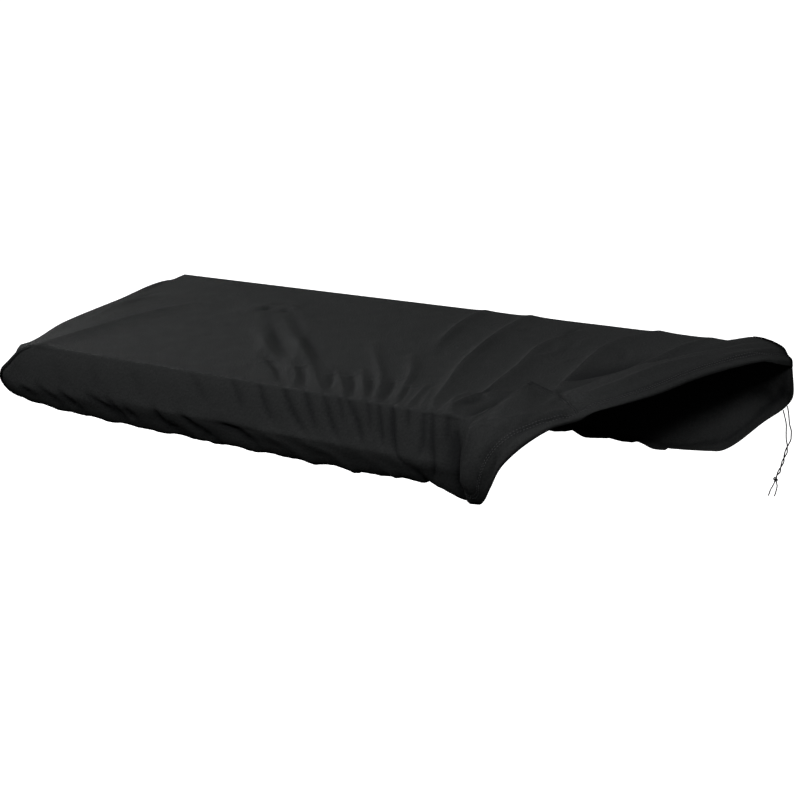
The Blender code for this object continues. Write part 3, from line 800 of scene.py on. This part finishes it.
def buildCoverMesh():
    # a grid for the top, whose rim is extruded ring by ring into the skirts
    sizes = coverSizes
    columns, rows, rings = sizes["columns"], sizes["rows"], sizes["rings"]
    mesh = bmesh.new()
    bmesh.ops.create_grid(mesh, x_segments=columns, y_segments=rows, size=0.5)
    across = mesh.verts.layers.int.new("across")
    deep = mesh.verts.layers.int.new("deep")
    down = mesh.verts.layers.int.new("down")
    for vert in mesh.verts:
        vert[across] = round((vert.co.x + 0.5) * columns)
        vert[deep] = round((vert.co.y + 0.5) * rows)
    rim = [edge for edge in mesh.edges if edge.is_boundary]
    for ring in range(1, rings + 1):
        grown = bmesh.ops.extrude_edge_only(mesh, edges=rim)["geom"]
        for item in grown:
            if isinstance(item, bmesh.types.BMVert):
                item[down] = ring
        rim = [item for item in grown if isinstance(item, bmesh.types.BMEdge) and item.is_boundary]
    layers = np.array([(vert[across], vert[deep], vert[down]) for vert in mesh.verts])
    return mesh, layers


Spacing = namedtuple("Spacing", "count place")
# columns: closer in the right part, which has most of the folds
columnSpacing = (Spacing(0.0, 0.0), Spacing(0.27, 0.44), Spacing(1.0, 1.0))
# rows: closest at the flap's peak and the notch
rowSpacing = (Spacing(0.0, 0.0), Spacing(0.44, 0.24), Spacing(0.60, 0.34), Spacing(1.0, 1.0))
# rings: closer at the top edge, at the front face's lower edge and at the hem
ringSpacing = (
    Spacing(0.0, 0.0), Spacing(0.08, 0.045), Spacing(0.35, 0.40),
    Spacing(0.58, 0.53), Spacing(0.77, 0.80), Spacing(1.0, 1.0),
)


def readSpacing(rows, count):
    read = smoothLine([row.count for row in rows], [row.place for row in rows])
    return read(np.linspace(0, 1, count + 1))[:, 0]


def shapeCover():
    mesh, layers = buildCoverMesh()
    sizes = coverSizes
    u = readSpacing(columnSpacing, sizes["columns"])[layers[:, 0]]
    v = readSpacing(rowSpacing, sizes["rows"])[layers[:, 1]]
    ring = layers[:, 2]
    shares = readSpacing(ringSpacing, sizes["rings"])
    places = np.zeros((len(ring), 3))
    flat = np.zeros((len(ring), 2))
    panel = np.full(len(ring), "top", dtype=object)
    onTop = ring == 0
    places[onTop] = topPoints(u[onTop], v[onTop])
    flat[onTop] = places[onTop][:, :2]
    skirt = skirts()
    edgeSteps = np.linspace(0, 1, sizes["edgePoints"])
    edgeRun = walkedAlong(rightEdge(edgeSteps))
    byColumn = {}
    for i in np.nonzero(ring > 0)[0]:
        byColumn.setdefault((layers[i, 0], layers[i, 1]), []).append(i)
    for i in np.nonzero(onTop)[0]:
        key = (layers[i, 0], layers[i, 1])
        if key in byColumn:
            byColumn[key].append(i)
    run = np.zeros(len(ring))
    for (column, row), members in byColumn.items():
        members = np.array(sorted(members, key=lambda i: ring[i]))
        uHere, vHere = u[members[0]], v[members[0]]
        if column == 0:
            side = "left"
        elif column == sizes["columns"]:
            side = "right"
        else:
            side = "front" if row == 0 else "back"
        along = vHere if side in ("left", "right") else uHere
        points = smoothLine(ringShares, skirt[side](along).reshape(-1, 3))(shares)
        points[0] = places[members[0]]
        arc = walkedAlong(points)
        skin = members[1:]
        places[skin] = points[1:]
        run[skin] = arc[1:] - arc[-1]
        panel[skin] = side
        if side == "front":
            flat[skin] = np.stack((points[1:, 0], sizes["frontTop"][0] - arc[1:]), axis=1)
        elif side == "back":
            flat[skin] = np.stack((points[1:, 0], sizes["backTop"][0] + arc[1:]), axis=1)
        elif side == "left":
            edge = places[members[0]]
            flat[skin] = np.stack((edge[0] - arc[1:], np.full(len(skin), edge[1])), axis=1)
        else:
            place = np.interp(along, edgeSteps, edgeRun)
            flat[skin] = np.stack((np.full(len(skin), place), arc[1:]), axis=1)
    return mesh, layers, u, v, shares[ring], places, flat, panel, run


def faceOutwards(mesh):
    # an open sheet has no inside, so its faces are turned by the top's, which look up
    bmesh.ops.recalc_face_normals(mesh, faces=mesh.faces)
    mesh.normal_update()
    if sum(face.normal.z * face.calc_area() for face in mesh.faces) < 0:
        bmesh.ops.reverse_faces(mesh, faces=mesh.faces)
        mesh.normal_update()


def clothNormals(mesh, places):
    for vert, place in zip(mesh.verts, places):
        vert.co = place
    faceOutwards(mesh)
    return np.array([vert.normal for vert in mesh.verts])


def readRim(mesh, layers, panel, flat, run):
    # every column of the skirts in order round the rim, from the top edge to the hem
    columns, rows = coverSizes["columns"], coverSizes["rows"]
    mesh.verts.ensure_lookup_table()
    members = {}
    for i, (across, deep, down) in enumerate(layers):
        if across in (0, columns) or deep in (0, rows):
            members.setdefault((across, deep), []).append(i)
    order = [(across, 0) for across in range(columns)]
    order += [(columns, deep) for deep in range(rows)]
    order += [(across, rows) for across in range(columns, 0, -1)]
    order += [(0, deep) for deep in range(rows, 0, -1)]
    found = []
    for key in order:
        column = sorted(members[key], key=lambda i: layers[i, 2])
        skin = column[1:]
        side = panel[skin[0]]
        found.append({
            "side": side,
            "corner": key in ((0, 0), (0, rows), (columns, rows)),
            "place": flat[skin[0], 0] if side == "right" else 0.0,
            "points": np.array([mesh.verts[i].co for i in skin]),
            "normals": np.array([mesh.verts[i].normal for i in skin]),
            "run": run[skin],
        })
    return found


def buildCover():
    mesh, layers, u, v, share, places, flat, panel, run = shapeCover()
    detail = clothDetail
    front, back = panel == "front", panel == "back"
    left, right, top = panel == "left", panel == "right", panel == "top"
    s, t = flat[:, 0], flat[:, 1]

    # gathers that the drawcord draws in at the hem, the same as the solid's
    strength = np.clip((share - detail["gatherStart"]) / (1 - detail["gatherStart"]), 0.0, 1.0)
    wave = waves(places[:, 0], share, gathers) * strength
    frontFade = np.minimum((1 - u) / detail["flapFade"], 1.0)
    inner = (u > 0) & (u < 1)
    pull = np.where(front & inner, wave * frontFade, 0.0)
    places[:, 1] -= pull * detail["gatherOut"]
    places[:, 2] += pull
    pull = np.where(back & (u > 0) & (u < detail["backGatherEnd"]), wave, 0.0)
    places[:, 1] += pull * detail["gatherOut"]
    places[:, 2] += pull
    wave = waves(places[:, 1], share, gathers) * strength
    places[:, 0] -= np.where(left & (v > 0) & (v < 1), wave * detail["gatherOut"], 0.0)

    normals = clothNormals(mesh, places)
    height = np.zeros(len(places))
    fade = np.clip((1 - u) / detail["foldFade"], 0.0, 1.0)
    flatPart = top | front
    height += np.where(top, creaseHeight(s, t, mainFolds, detail["mainPower"]) * fade, 0.0)
    sharp = creaseHeight(s, t, topCreases + underCreases, detail["creasePower"])
    sharp += creaseHeight(s, t, faceCreases, detail["facePower"])
    # painted shade: the base colour is darkened deep in a crease, where shade falls
    paintedShade = mesh.verts.layers.float.new("paintedShade")
    shadeShares = np.clip(-np.where(front, sharp, sharp * detail["topShadeShare"]) / detail["fullShadeDepth"], 0.0, 1.0)
    shadeShares *= flatPart
    for vert, depth in zip(mesh.verts, shadeShares):
        vert[paintedShade] = depth
    height += np.where(flatPart, sharp * np.where(front, frontFade, fade), 0.0)
    height += np.where(right, creaseHeight(s, t, rightCreases, detail["creasePower"]), 0.0)

    # the turned hem is a soft roll with a groove at its two stitch rows and short puckers
    hemWidth = np.full(len(run), detail["hemWidth"])
    hemWidth[right] = readStitch(s[right])[:, 0]
    hem = np.clip(1 + run / hemWidth, 0.0, 1.0)
    fromStitches = run + hemWidth
    onSkirt = share > 0
    groove = sum(
        np.exp(-((fromStitches - row) / detail["grooveWidth"]) ** 2) for row in detail["stitchRows"]
    ) * onSkirt
    roll = detail["hemPuff"] * np.sin(pi * hem) - detail["grooveDepth"] * groove
    # painted shade in the stitch grooves, added to the creases' painted shade
    for vert, deep in zip(mesh.verts, groove * detail["grooveShade"]):
        vert[paintedShade] = min(vert[paintedShade] + deep, 1.0)
    pucker = waves(np.where(front | back, places[:, 0], places[:, 1]), share, puckers)
    pinch = np.exp(-(fromStitches / detail["pinchWidth"]) ** 2)
    height += np.where(onSkirt, roll + pucker * pinch * detail["pinchShare"], 0.0)

    places = places + normals * height[:, None]
    for vert, place in zip(mesh.verts, places):
        vert.co = place
    for _ in range(detail["edgeRounds"]):
        rimVerts = [
            vert for vert, down, across, deep in zip(mesh.verts, layers[:, 2], layers[:, 0], layers[:, 1])
            if (down == 1 or (down == 0 and (across in (0, 1) or deep in (0, 1)
                or across >= coverSizes["columns"] - 1 or deep >= coverSizes["rows"] - 1)))
        ]
        bmesh.ops.smooth_vert(mesh, verts=rimVerts, factor=0.5,
                              use_axis_x=True, use_axis_y=True, use_axis_z=True)
    mesh.normal_update()
    rimColumns = readRim(mesh, layers, panel, flat, run)
    placeInModel(mesh)

    weave = mesh.loops.layers.uv.new("weave")
    for face in mesh.faces:
        sides = {panel[loop.vert.index] for loop in face.loops} - {"top"}
        for loop in face.loops:
            i = loop.vert.index
            spot = flat[i]
            if "right" in sides and panel[i] == "top":
                spot = (spot[1], 0.0)
            loop[weave].uv = (spot[0] * mm, spot[1] * mm)
    area = sum(face.calc_area() for face in mesh.faces)
    cover = linkMesh("stretch_cover", mesh)
    thick = cover.modifiers.new("cloth thickness", "SOLIDIFY")
    thick.thickness = coverSizes["sheet"] * mm
    thick.offset = -1.0
    thick.use_even_offset = False
    return cover, area, rimColumns


cover, clothArea, rimColumns = buildCover()
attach(cover, "root")
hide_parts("cover")
print("cover: cloth of", round(clothArea, 3), "square metres")


# hem stitching: two rows of short stitches round the turned hem
stitchSizes = {
    "pitch": 4.6,
    "length": 3.1,
    "width": 1.1,
    "height": 0.8,
    "proud": 0.15,
    "sides": 6,
    "rings": 4,
    "batch": 40,
}


def stitchDistance(column):
    if column["side"] == "right":
        return readStitch(column["place"])[0]
    return clothDetail["hemWidth"]


def readColumn(column, key, run):
    # the column's point or normal at a place along it, which is 0 at the hem and below 0 above
    return [np.interp(run, column["run"], column[key][:, k]) for k in range(3)]


def stitchLine(columns, nearer):
    # where a row of stitches crosses each column of the rim, and the cloth's normal there
    spots, ways = [], []
    for column in columns:
        run = nearer - stitchDistance(column)
        spots.append(readColumn(column, "points", run))
        ways.append(readColumn(column, "normals", run))
    return np.array(spots), np.array(ways)


def alongLine(marks, walked, values):
    return np.stack([np.interp(marks, walked, values[:, k]) for k in range(3)], axis=1)


def buildStitches(columns, sizes):
    # made in short lengths, which are then joined, because one large mesh is slow to add to
    mesh = bmesh.new()
    half = Vector((sizes["length"], sizes["width"], sizes["height"])) / 2
    for nearer in clothDetail["stitchRows"]:
        spots, ways = stitchLine(columns, nearer)
        spots, ways = np.vstack((spots, spots[:1])), np.vstack((ways, ways[:1]))
        walked = walkedAlong(spots)
        marks = np.linspace(0, walked[-1], int(walked[-1] / sizes["pitch"]), endpoint=False)
        starts = alongLine(marks, walked, spots)
        stops = alongLine(marks + sizes["length"], walked, spots)
        normals = alongLine(marks, walked, ways)
        for first in range(0, len(marks), sizes["batch"]):
            run = bmesh.new()
            batch = slice(first, first + sizes["batch"])
            for start, stop, normal in zip(starts[batch], stops[batch], normals[batch]):
                along = Vector(stop - start).normalized()
                side = Vector(normal).cross(along).normalized()
                out = along.cross(side)
                middle = (Vector(start) + Vector(stop)) / 2 + out * sizes["proud"]
                turn = Matrix((along * half.x, side * half.y, out * half.z)).transposed().to_4x4()
                bmesh.ops.create_uvsphere(run, u_segments=sizes["sides"],
                                          v_segments=sizes["rings"], radius=1.0,
                                          matrix=Matrix.Translation(middle) @ turn)
            part = bpy.data.meshes.new("stitch run")
            run.to_mesh(part)
            run.free()
            mesh.from_mesh(part)
            bpy.data.meshes.remove(part)
    placeInModel(mesh)
    bmesh.ops.recalc_face_normals(mesh, faces=mesh.faces)
    return linkMesh("hem_stitches", mesh)


# corner seams: each a narrow welt, with a groove between its two raised lips
seamSizes = {
    "width": 6.4,
    "lips": (-0.35, 0.7, 1.5, 0.8, 0.1, 0.8, 1.5, 0.7, -0.35),
    "step": 3.0,
    "fewestSteps": 4,
    "tip": 0.2,  # share of the lips' height at a seam's ends
    "taper": 4.0,  # its growth from there along the seam
    "readings": 60,
}
# the front right seam, from the flap's peak by the notch to the hem: place and distance down
frontRightSeam = (
    (112, 1), (122, 1), (134, 1), (146, 1), (156, 2), (160, 22), (163, 46), (167, 66), (167, 84),
)


def clothAt(columns, place, down):
    # the point and normal of the right skirt at a place along its edge, and a distance down
    places = [column["place"] for column in columns]
    at = float(np.interp(place, places, range(len(columns))))
    low = min(int(at), len(columns) - 2)
    share = at - low
    found = []
    for column in columns[low:low + 2]:
        run = column["run"][0] + down
        found.append(np.array([readColumn(column, key, run) for key in ("points", "normals")]))
    return found[0] * (1 - share) + found[1] * share


def addWelt(mesh, spots, ways, sizes):
    spots = np.array(spots)
    walked = walkedAlong(spots)
    steps = max(int(walked[-1] / sizes["step"]), sizes["fewestSteps"])
    marks = np.linspace(0, walked[-1], steps + 1)
    points = alongLine(marks, walked, spots)
    normals = alongLine(marks, walked, np.array(ways))
    lips = len(sizes["lips"]) - 1
    strip = bmesh.ops.create_grid(mesh, x_segments=steps, y_segments=lips, size=0.5)["verts"]
    along = np.gradient(points, axis=0)
    for vert in strip:
        i, j = round((vert.co.x + 0.5) * steps), round((vert.co.y + 0.5) * lips)
        out = Vector(normals[i]).normalized()
        side = Vector(along[i]).cross(out).normalized()
        narrow = min(1.0, sizes["taper"] * min(i, steps - i) / steps + sizes["tip"])
        aside = (j / lips - 0.5) * sizes["width"]
        vert.co = Vector(points[i]) + side * aside + out * sizes["lips"][j] * narrow


def buildSeams(columns, sizes):
    mesh = bmesh.new()
    right = [column for column in columns if column["side"] == "right"]
    marks = np.linspace(0, 1, sizes["readings"])
    found = [clothAt(right, *spot) for spot in curveThrough(frontRightSeam)(marks)]
    addWelt(mesh, [spot[0] for spot in found], [spot[1] for spot in found], sizes)
    for column in columns:
        if column["corner"]:
            addWelt(mesh, column["points"], column["normals"], sizes)
    placeInModel(mesh)
    return linkMesh("corner_seams", mesh)


stitches = buildStitches(rimColumns, stitchSizes)
seams = buildSeams(rimColumns, seamSizes)
for piece in (stitches, seams):
    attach(piece, "root")
print("hem stitches and corner seams made")


# materials
clothLook = {
    "colour": (0.0230, 0.0240, 0.0240, 1.0),
    # the dark colour, which both the cloth's uneven tone and its painted shade lean towards
    "dark": (0.0090, 0.0095, 0.0100, 1.0),
    "roughness": 0.66,
    "roughnessChange": 0.12,
    "specular": 0.05,
    "loopsPerMetre": 900.0,  # knitted loops across the cloth
    "coursesPerMetre": 1150.0,
    "knitHeight": 0.00022,
    "blotch": 34.0,
    "blotchHeight": 0.0009,
    "fineCrumple": 330.0,
    "crumpleHeight": 0.0009,
    "mottle": 0.9,  # how much the fine crumples change the colour
    "mottleShare": 0.28,  # how far the colour lies towards the dark one
    # painted shade in the knit's hollows
    "loopShade": 0.4,
    # painted shade in the creases, from the mesh's attribute
    "creaseShade": 0.9,
}
cordLook = {
    "colour": (0.010, 0.010, 0.010, 1.0),
    "roughness": 0.6,
    "grain": 1400.0,
    "braidHeight": 0.0002,
}
threadLook = {
    "colour": (0.028, 0.029, 0.030, 1.0),
    "roughness": 0.8,
    "grain": 1400.0,
    "braidHeight": 0.0001,
}


def addSocket(group, name, way, kind):
    group.interface.new_socket(name=name, in_out=way, socket_type=kind)


def addNode(tree, kind, **settings):
    node = tree.nodes.new(kind)
    for key, value in settings.items():
        setattr(node, key, value)
    return node


def mathNode(tree, operation, first, second=None):
    # a Math node whose inputs are sockets or plain numbers
    node = addNode(tree, "ShaderNodeMath", operation=operation)
    for socket, value in zip(node.inputs, (first, second)):
        if isinstance(value, bpy.types.NodeSocket):
            tree.links.new(value, socket)
        elif value is not None:
            socket.default_value = value
    return node.outputs[0]


def knitGroup():
    # knitted loops: columns of small V shapes, with their height and a mask of the hollows, which gets
    # painted shade
    group = bpy.data.node_groups.new("knit", "ShaderNodeTree")
    addSocket(group, "Vector", "INPUT", "NodeSocketVector")
    addSocket(group, "Loops", "INPUT", "NodeSocketFloat")
    addSocket(group, "Courses", "INPUT", "NodeSocketFloat")
    addSocket(group, "Height", "OUTPUT", "NodeSocketFloat")
    addSocket(group, "Hollows", "OUTPUT", "NodeSocketFloat")
    ends = addNode(group, "NodeGroupInput"), addNode(group, "NodeGroupOutput")
    split = addNode(group, "ShaderNodeSeparateXYZ")
    group.links.new(ends[0].outputs["Vector"], split.inputs[0])
    across = mathNode(group, "MULTIPLY", split.outputs["X"], ends[0].outputs["Loops"])
    down = mathNode(group, "MULTIPLY", split.outputs["Y"], ends[0].outputs["Courses"])
    leg = mathNode(group, "PINGPONG", across, 0.5)
    slant = mathNode(group, "ADD", down, leg)
    course = mathNode(group, "PINGPONG", slant, 0.5)
    column = mathNode(group, "MULTIPLY", leg, mathNode(group, "SUBTRACT", 1.0, leg))
    rounded = mathNode(group, "MULTIPLY", column, 4.0)
    height = mathNode(group, "MULTIPLY", mathNode(group, "ADD", course, 0.2), rounded)
    hollows = mathNode(group, "LESS_THAN", height, 0.12)
    group.links.new(height, ends[1].inputs["Height"])
    group.links.new(hollows, ends[1].inputs["Hollows"])
    return group


def crumpleGroup():
    # slow unevenness of the cloth: soft blotches and fine crumples
    group = bpy.data.node_groups.new("crumple", "ShaderNodeTree")
    addSocket(group, "Vector", "INPUT", "NodeSocketVector")
    addSocket(group, "Scale", "INPUT", "NodeSocketFloat")
    addSocket(group, "Mask", "OUTPUT", "NodeSocketFloat")
    ends = addNode(group, "NodeGroupInput"), addNode(group, "NodeGroupOutput")
    noise = addNode(group, "ShaderNodeTexNoise")
    noise.inputs["Detail"].default_value = 3.0
    noise.inputs["Roughness"].default_value = 0.55
    group.links.new(ends[0].outputs["Vector"], noise.inputs["Vector"])
    group.links.new(ends[0].outputs["Scale"], noise.inputs["Scale"])
    group.links.new(noise.outputs["Fac"], ends[1].inputs["Mask"])
    return group


knit = knitGroup()
crumple = crumpleGroup()


def groupNode(tree, group, vector, **values):
    node = addNode(tree, "ShaderNodeGroup", node_tree=group)
    tree.links.new(vector, node.inputs["Vector"])
    for name, value in values.items():
        node.inputs[name].default_value = value
    return node


def bumpNode(tree, height, distance, under=None):
    node = addNode(tree, "ShaderNodeBump")
    node.inputs["Strength"].default_value = 1.0
    node.inputs["Distance"].default_value = distance
    tree.links.new(height, node.inputs["Height"])
    if under:
        tree.links.new(under, node.inputs["Normal"])
    return node.outputs["Normal"]


def startMaterial(name):
    material = bpy.data.materials.new(name)
    material.use_nodes = True
    tree = material.node_tree
    return material, tree, tree.nodes["Principled BSDF"]


def buildClothMaterial(look):
    material, tree, shader = startMaterial("stretch cloth")
    shader.inputs["Specular IOR Level"].default_value = look["specular"]
    spots = addNode(tree, "ShaderNodeTexCoord")
    loops = groupNode(tree, knit, spots.outputs["UV"],
                      Loops=look["loopsPerMetre"], Courses=look["coursesPerMetre"])
    slow = groupNode(tree, crumple, spots.outputs["Object"], Scale=look["blotch"])
    fine = groupNode(tree, crumple, spots.outputs["Object"], Scale=look["fineCrumple"])
    mix = addNode(tree, "ShaderNodeMix", data_type="RGBA")
    mix.inputs["A"].default_value = look["colour"]
    mix.inputs["B"].default_value = look["dark"]
    # painted shade: the knit's hollows darken the base colour; the fine crumples' mottle is the cloth's
    # own uneven tone
    hollows = mathNode(tree, "MULTIPLY", loops.outputs["Hollows"], look["loopShade"])
    mottle = mathNode(tree, "SUBTRACT", fine.outputs["Mask"], 0.5)
    mottle = mathNode(tree, "MULTIPLY", mottle, look["mottle"])
    dark = mathNode(tree, "ADD", mathNode(tree, "ADD", hollows, mottle), look["mottleShare"])
    # painted shade of the creases and the stitch grooves, read from the mesh's attribute
    deep = addNode(tree, "ShaderNodeAttribute", attribute_name="paintedShade")
    deep = mathNode(tree, "MULTIPLY", deep.outputs["Fac"], look["creaseShade"])
    dark = mathNode(tree, "ADD", dark, deep)
    tree.links.new(dark, mix.inputs["Factor"])
    tree.links.new(mix.outputs["Result"], shader.inputs["Base Color"])
    rough = mathNode(tree, "MULTIPLY", slow.outputs["Mask"], look["roughnessChange"])
    rough = mathNode(tree, "ADD", rough, look["roughness"] - look["roughnessChange"] / 2)
    tree.links.new(rough, shader.inputs["Roughness"])
    normal = bumpNode(tree, slow.outputs["Mask"], look["blotchHeight"])
    normal = bumpNode(tree, fine.outputs["Mask"], look["crumpleHeight"], under=normal)
    normal = bumpNode(tree, loops.outputs["Height"], look["knitHeight"], under=normal)
    tree.links.new(normal, shader.inputs["Normal"])
    return material


def buildCordMaterial(name, look):
    material, tree, shader = startMaterial(name)
    shader.inputs["Base Color"].default_value = look["colour"]
    shader.inputs["Roughness"].default_value = look["roughness"]
    spots = addNode(tree, "ShaderNodeTexCoord")
    grain = groupNode(tree, crumple, spots.outputs["Object"], Scale=look["grain"])
    tree.links.new(bumpNode(tree, grain.outputs["Mask"], look["braidHeight"]), shader.inputs["Normal"])
    return material


clothMaterial = buildClothMaterial(clothLook)
for piece in (cover, seams):
    piece.data.materials.append(clothMaterial)
cordMaterial = buildCordMaterial("drawcord", cordLook)
for piece in (cordA, cordB, knot):
    piece.data.materials.append(cordMaterial)
stitches.data.materials.append(buildCordMaterial("sewing thread", threadLook))


# stage: a pale floor with pale walls round it, and a soft studio
stageSizes = {
    "floorZ": -0.75,
    "size": 20.0,
    "wall": 14.0,
    "paint": (0.9, 0.9, 0.9, 1),
    "roughness": 0.9,
    "glow": 1.0,
    "sky": 0.15,
    "skyEdges": (0.44, 0.50),
    "skyLow": (0.02, 0.02, 0.02, 1),
}
# each light's place, size and power, aimed at the cover's middle
Light = namedtuple("Light", "name place size power")
lights = (
    Light("key", (-7.6, 3.4, 3.5), (2.2, 1.6), 105.0),
    Light("front fill", (-4.0, -4.4, 4.0), (0.9, 0.7), 300.0),
    Light("right fill", (2.4, -2.4, 2.0), (0.8, 0.6), 88.0),
)


def buildFloor(sizes):
    mesh = bmesh.new()
    bmesh.ops.create_grid(mesh, x_segments=1, y_segments=1, size=sizes["size"])
    rim = [edge for edge in mesh.edges if edge.is_boundary]
    grown = bmesh.ops.extrude_edge_only(mesh, edges=rim)["geom"]
    walls = [item for item in grown if isinstance(item, bmesh.types.BMVert)]
    bmesh.ops.translate(mesh, verts=walls, vec=(0, 0, sizes["wall"]))
    bmesh.ops.translate(mesh, verts=mesh.verts, vec=(0, 0, sizes["floorZ"]))
    floor = linkMesh("floor", mesh)
    material, _, shader = startMaterial("pale floor")
    shader.inputs["Base Color"].default_value = sizes["paint"]
    shader.inputs["Roughness"].default_value = sizes["roughness"]
    shader.inputs["Emission Color"].default_value = (1, 1, 1, 1)
    shader.inputs["Emission Strength"].default_value = sizes["glow"]
    floor.data.materials.append(material)
    floor.visible_diffuse = False  # the dark cloth gets no light back from the floor
    floor.visible_glossy = False


def addSky(sizes):
    # white above the horizon and dark below it
    world = bpy.data.worlds.new("studio")
    bpy.context.scene.world = world
    world.use_nodes = True
    tree = world.node_tree
    spots = addNode(tree, "ShaderNodeTexCoord")
    split = addNode(tree, "ShaderNodeSeparateXYZ")
    tree.links.new(spots.outputs["Generated"], split.inputs[0])
    height = mathNode(tree, "MULTIPLY_ADD", split.outputs["Z"], 0.5)
    height.node.inputs[2].default_value = 0.5
    ramp = addNode(tree, "ShaderNodeValToRGB")
    low, high = ramp.color_ramp.elements
    low.position, high.position = sizes["skyEdges"]
    low.color, high.color = sizes["skyLow"], (1, 1, 1, 1)
    tree.links.new(height, ramp.inputs["Fac"])
    background = tree.nodes["Background"]
    tree.links.new(ramp.outputs["Color"], background.inputs["Color"])
    background.inputs["Strength"].default_value = sizes["sky"]


def addLight(light):
    data = bpy.data.lights.new(light.name, "AREA")
    data.shape = "RECTANGLE"
    data.size, data.size_y = light.size
    data.energy = light.power
    lamp = bpy.data.objects.new(light.name, data)
    lamp.location = light.place
    lamp.rotation_euler = (-Vector(light.place)).to_track_quat("-Z", "Y").to_euler()
    bpy.context.scene.collection.objects.link(lamp)


buildFloor(stageSizes)
addSky(stageSizes)
for light in lights:
    addLight(light)
bpy.context.scene.view_settings.view_transform = "Standard"
print("stage and light set")
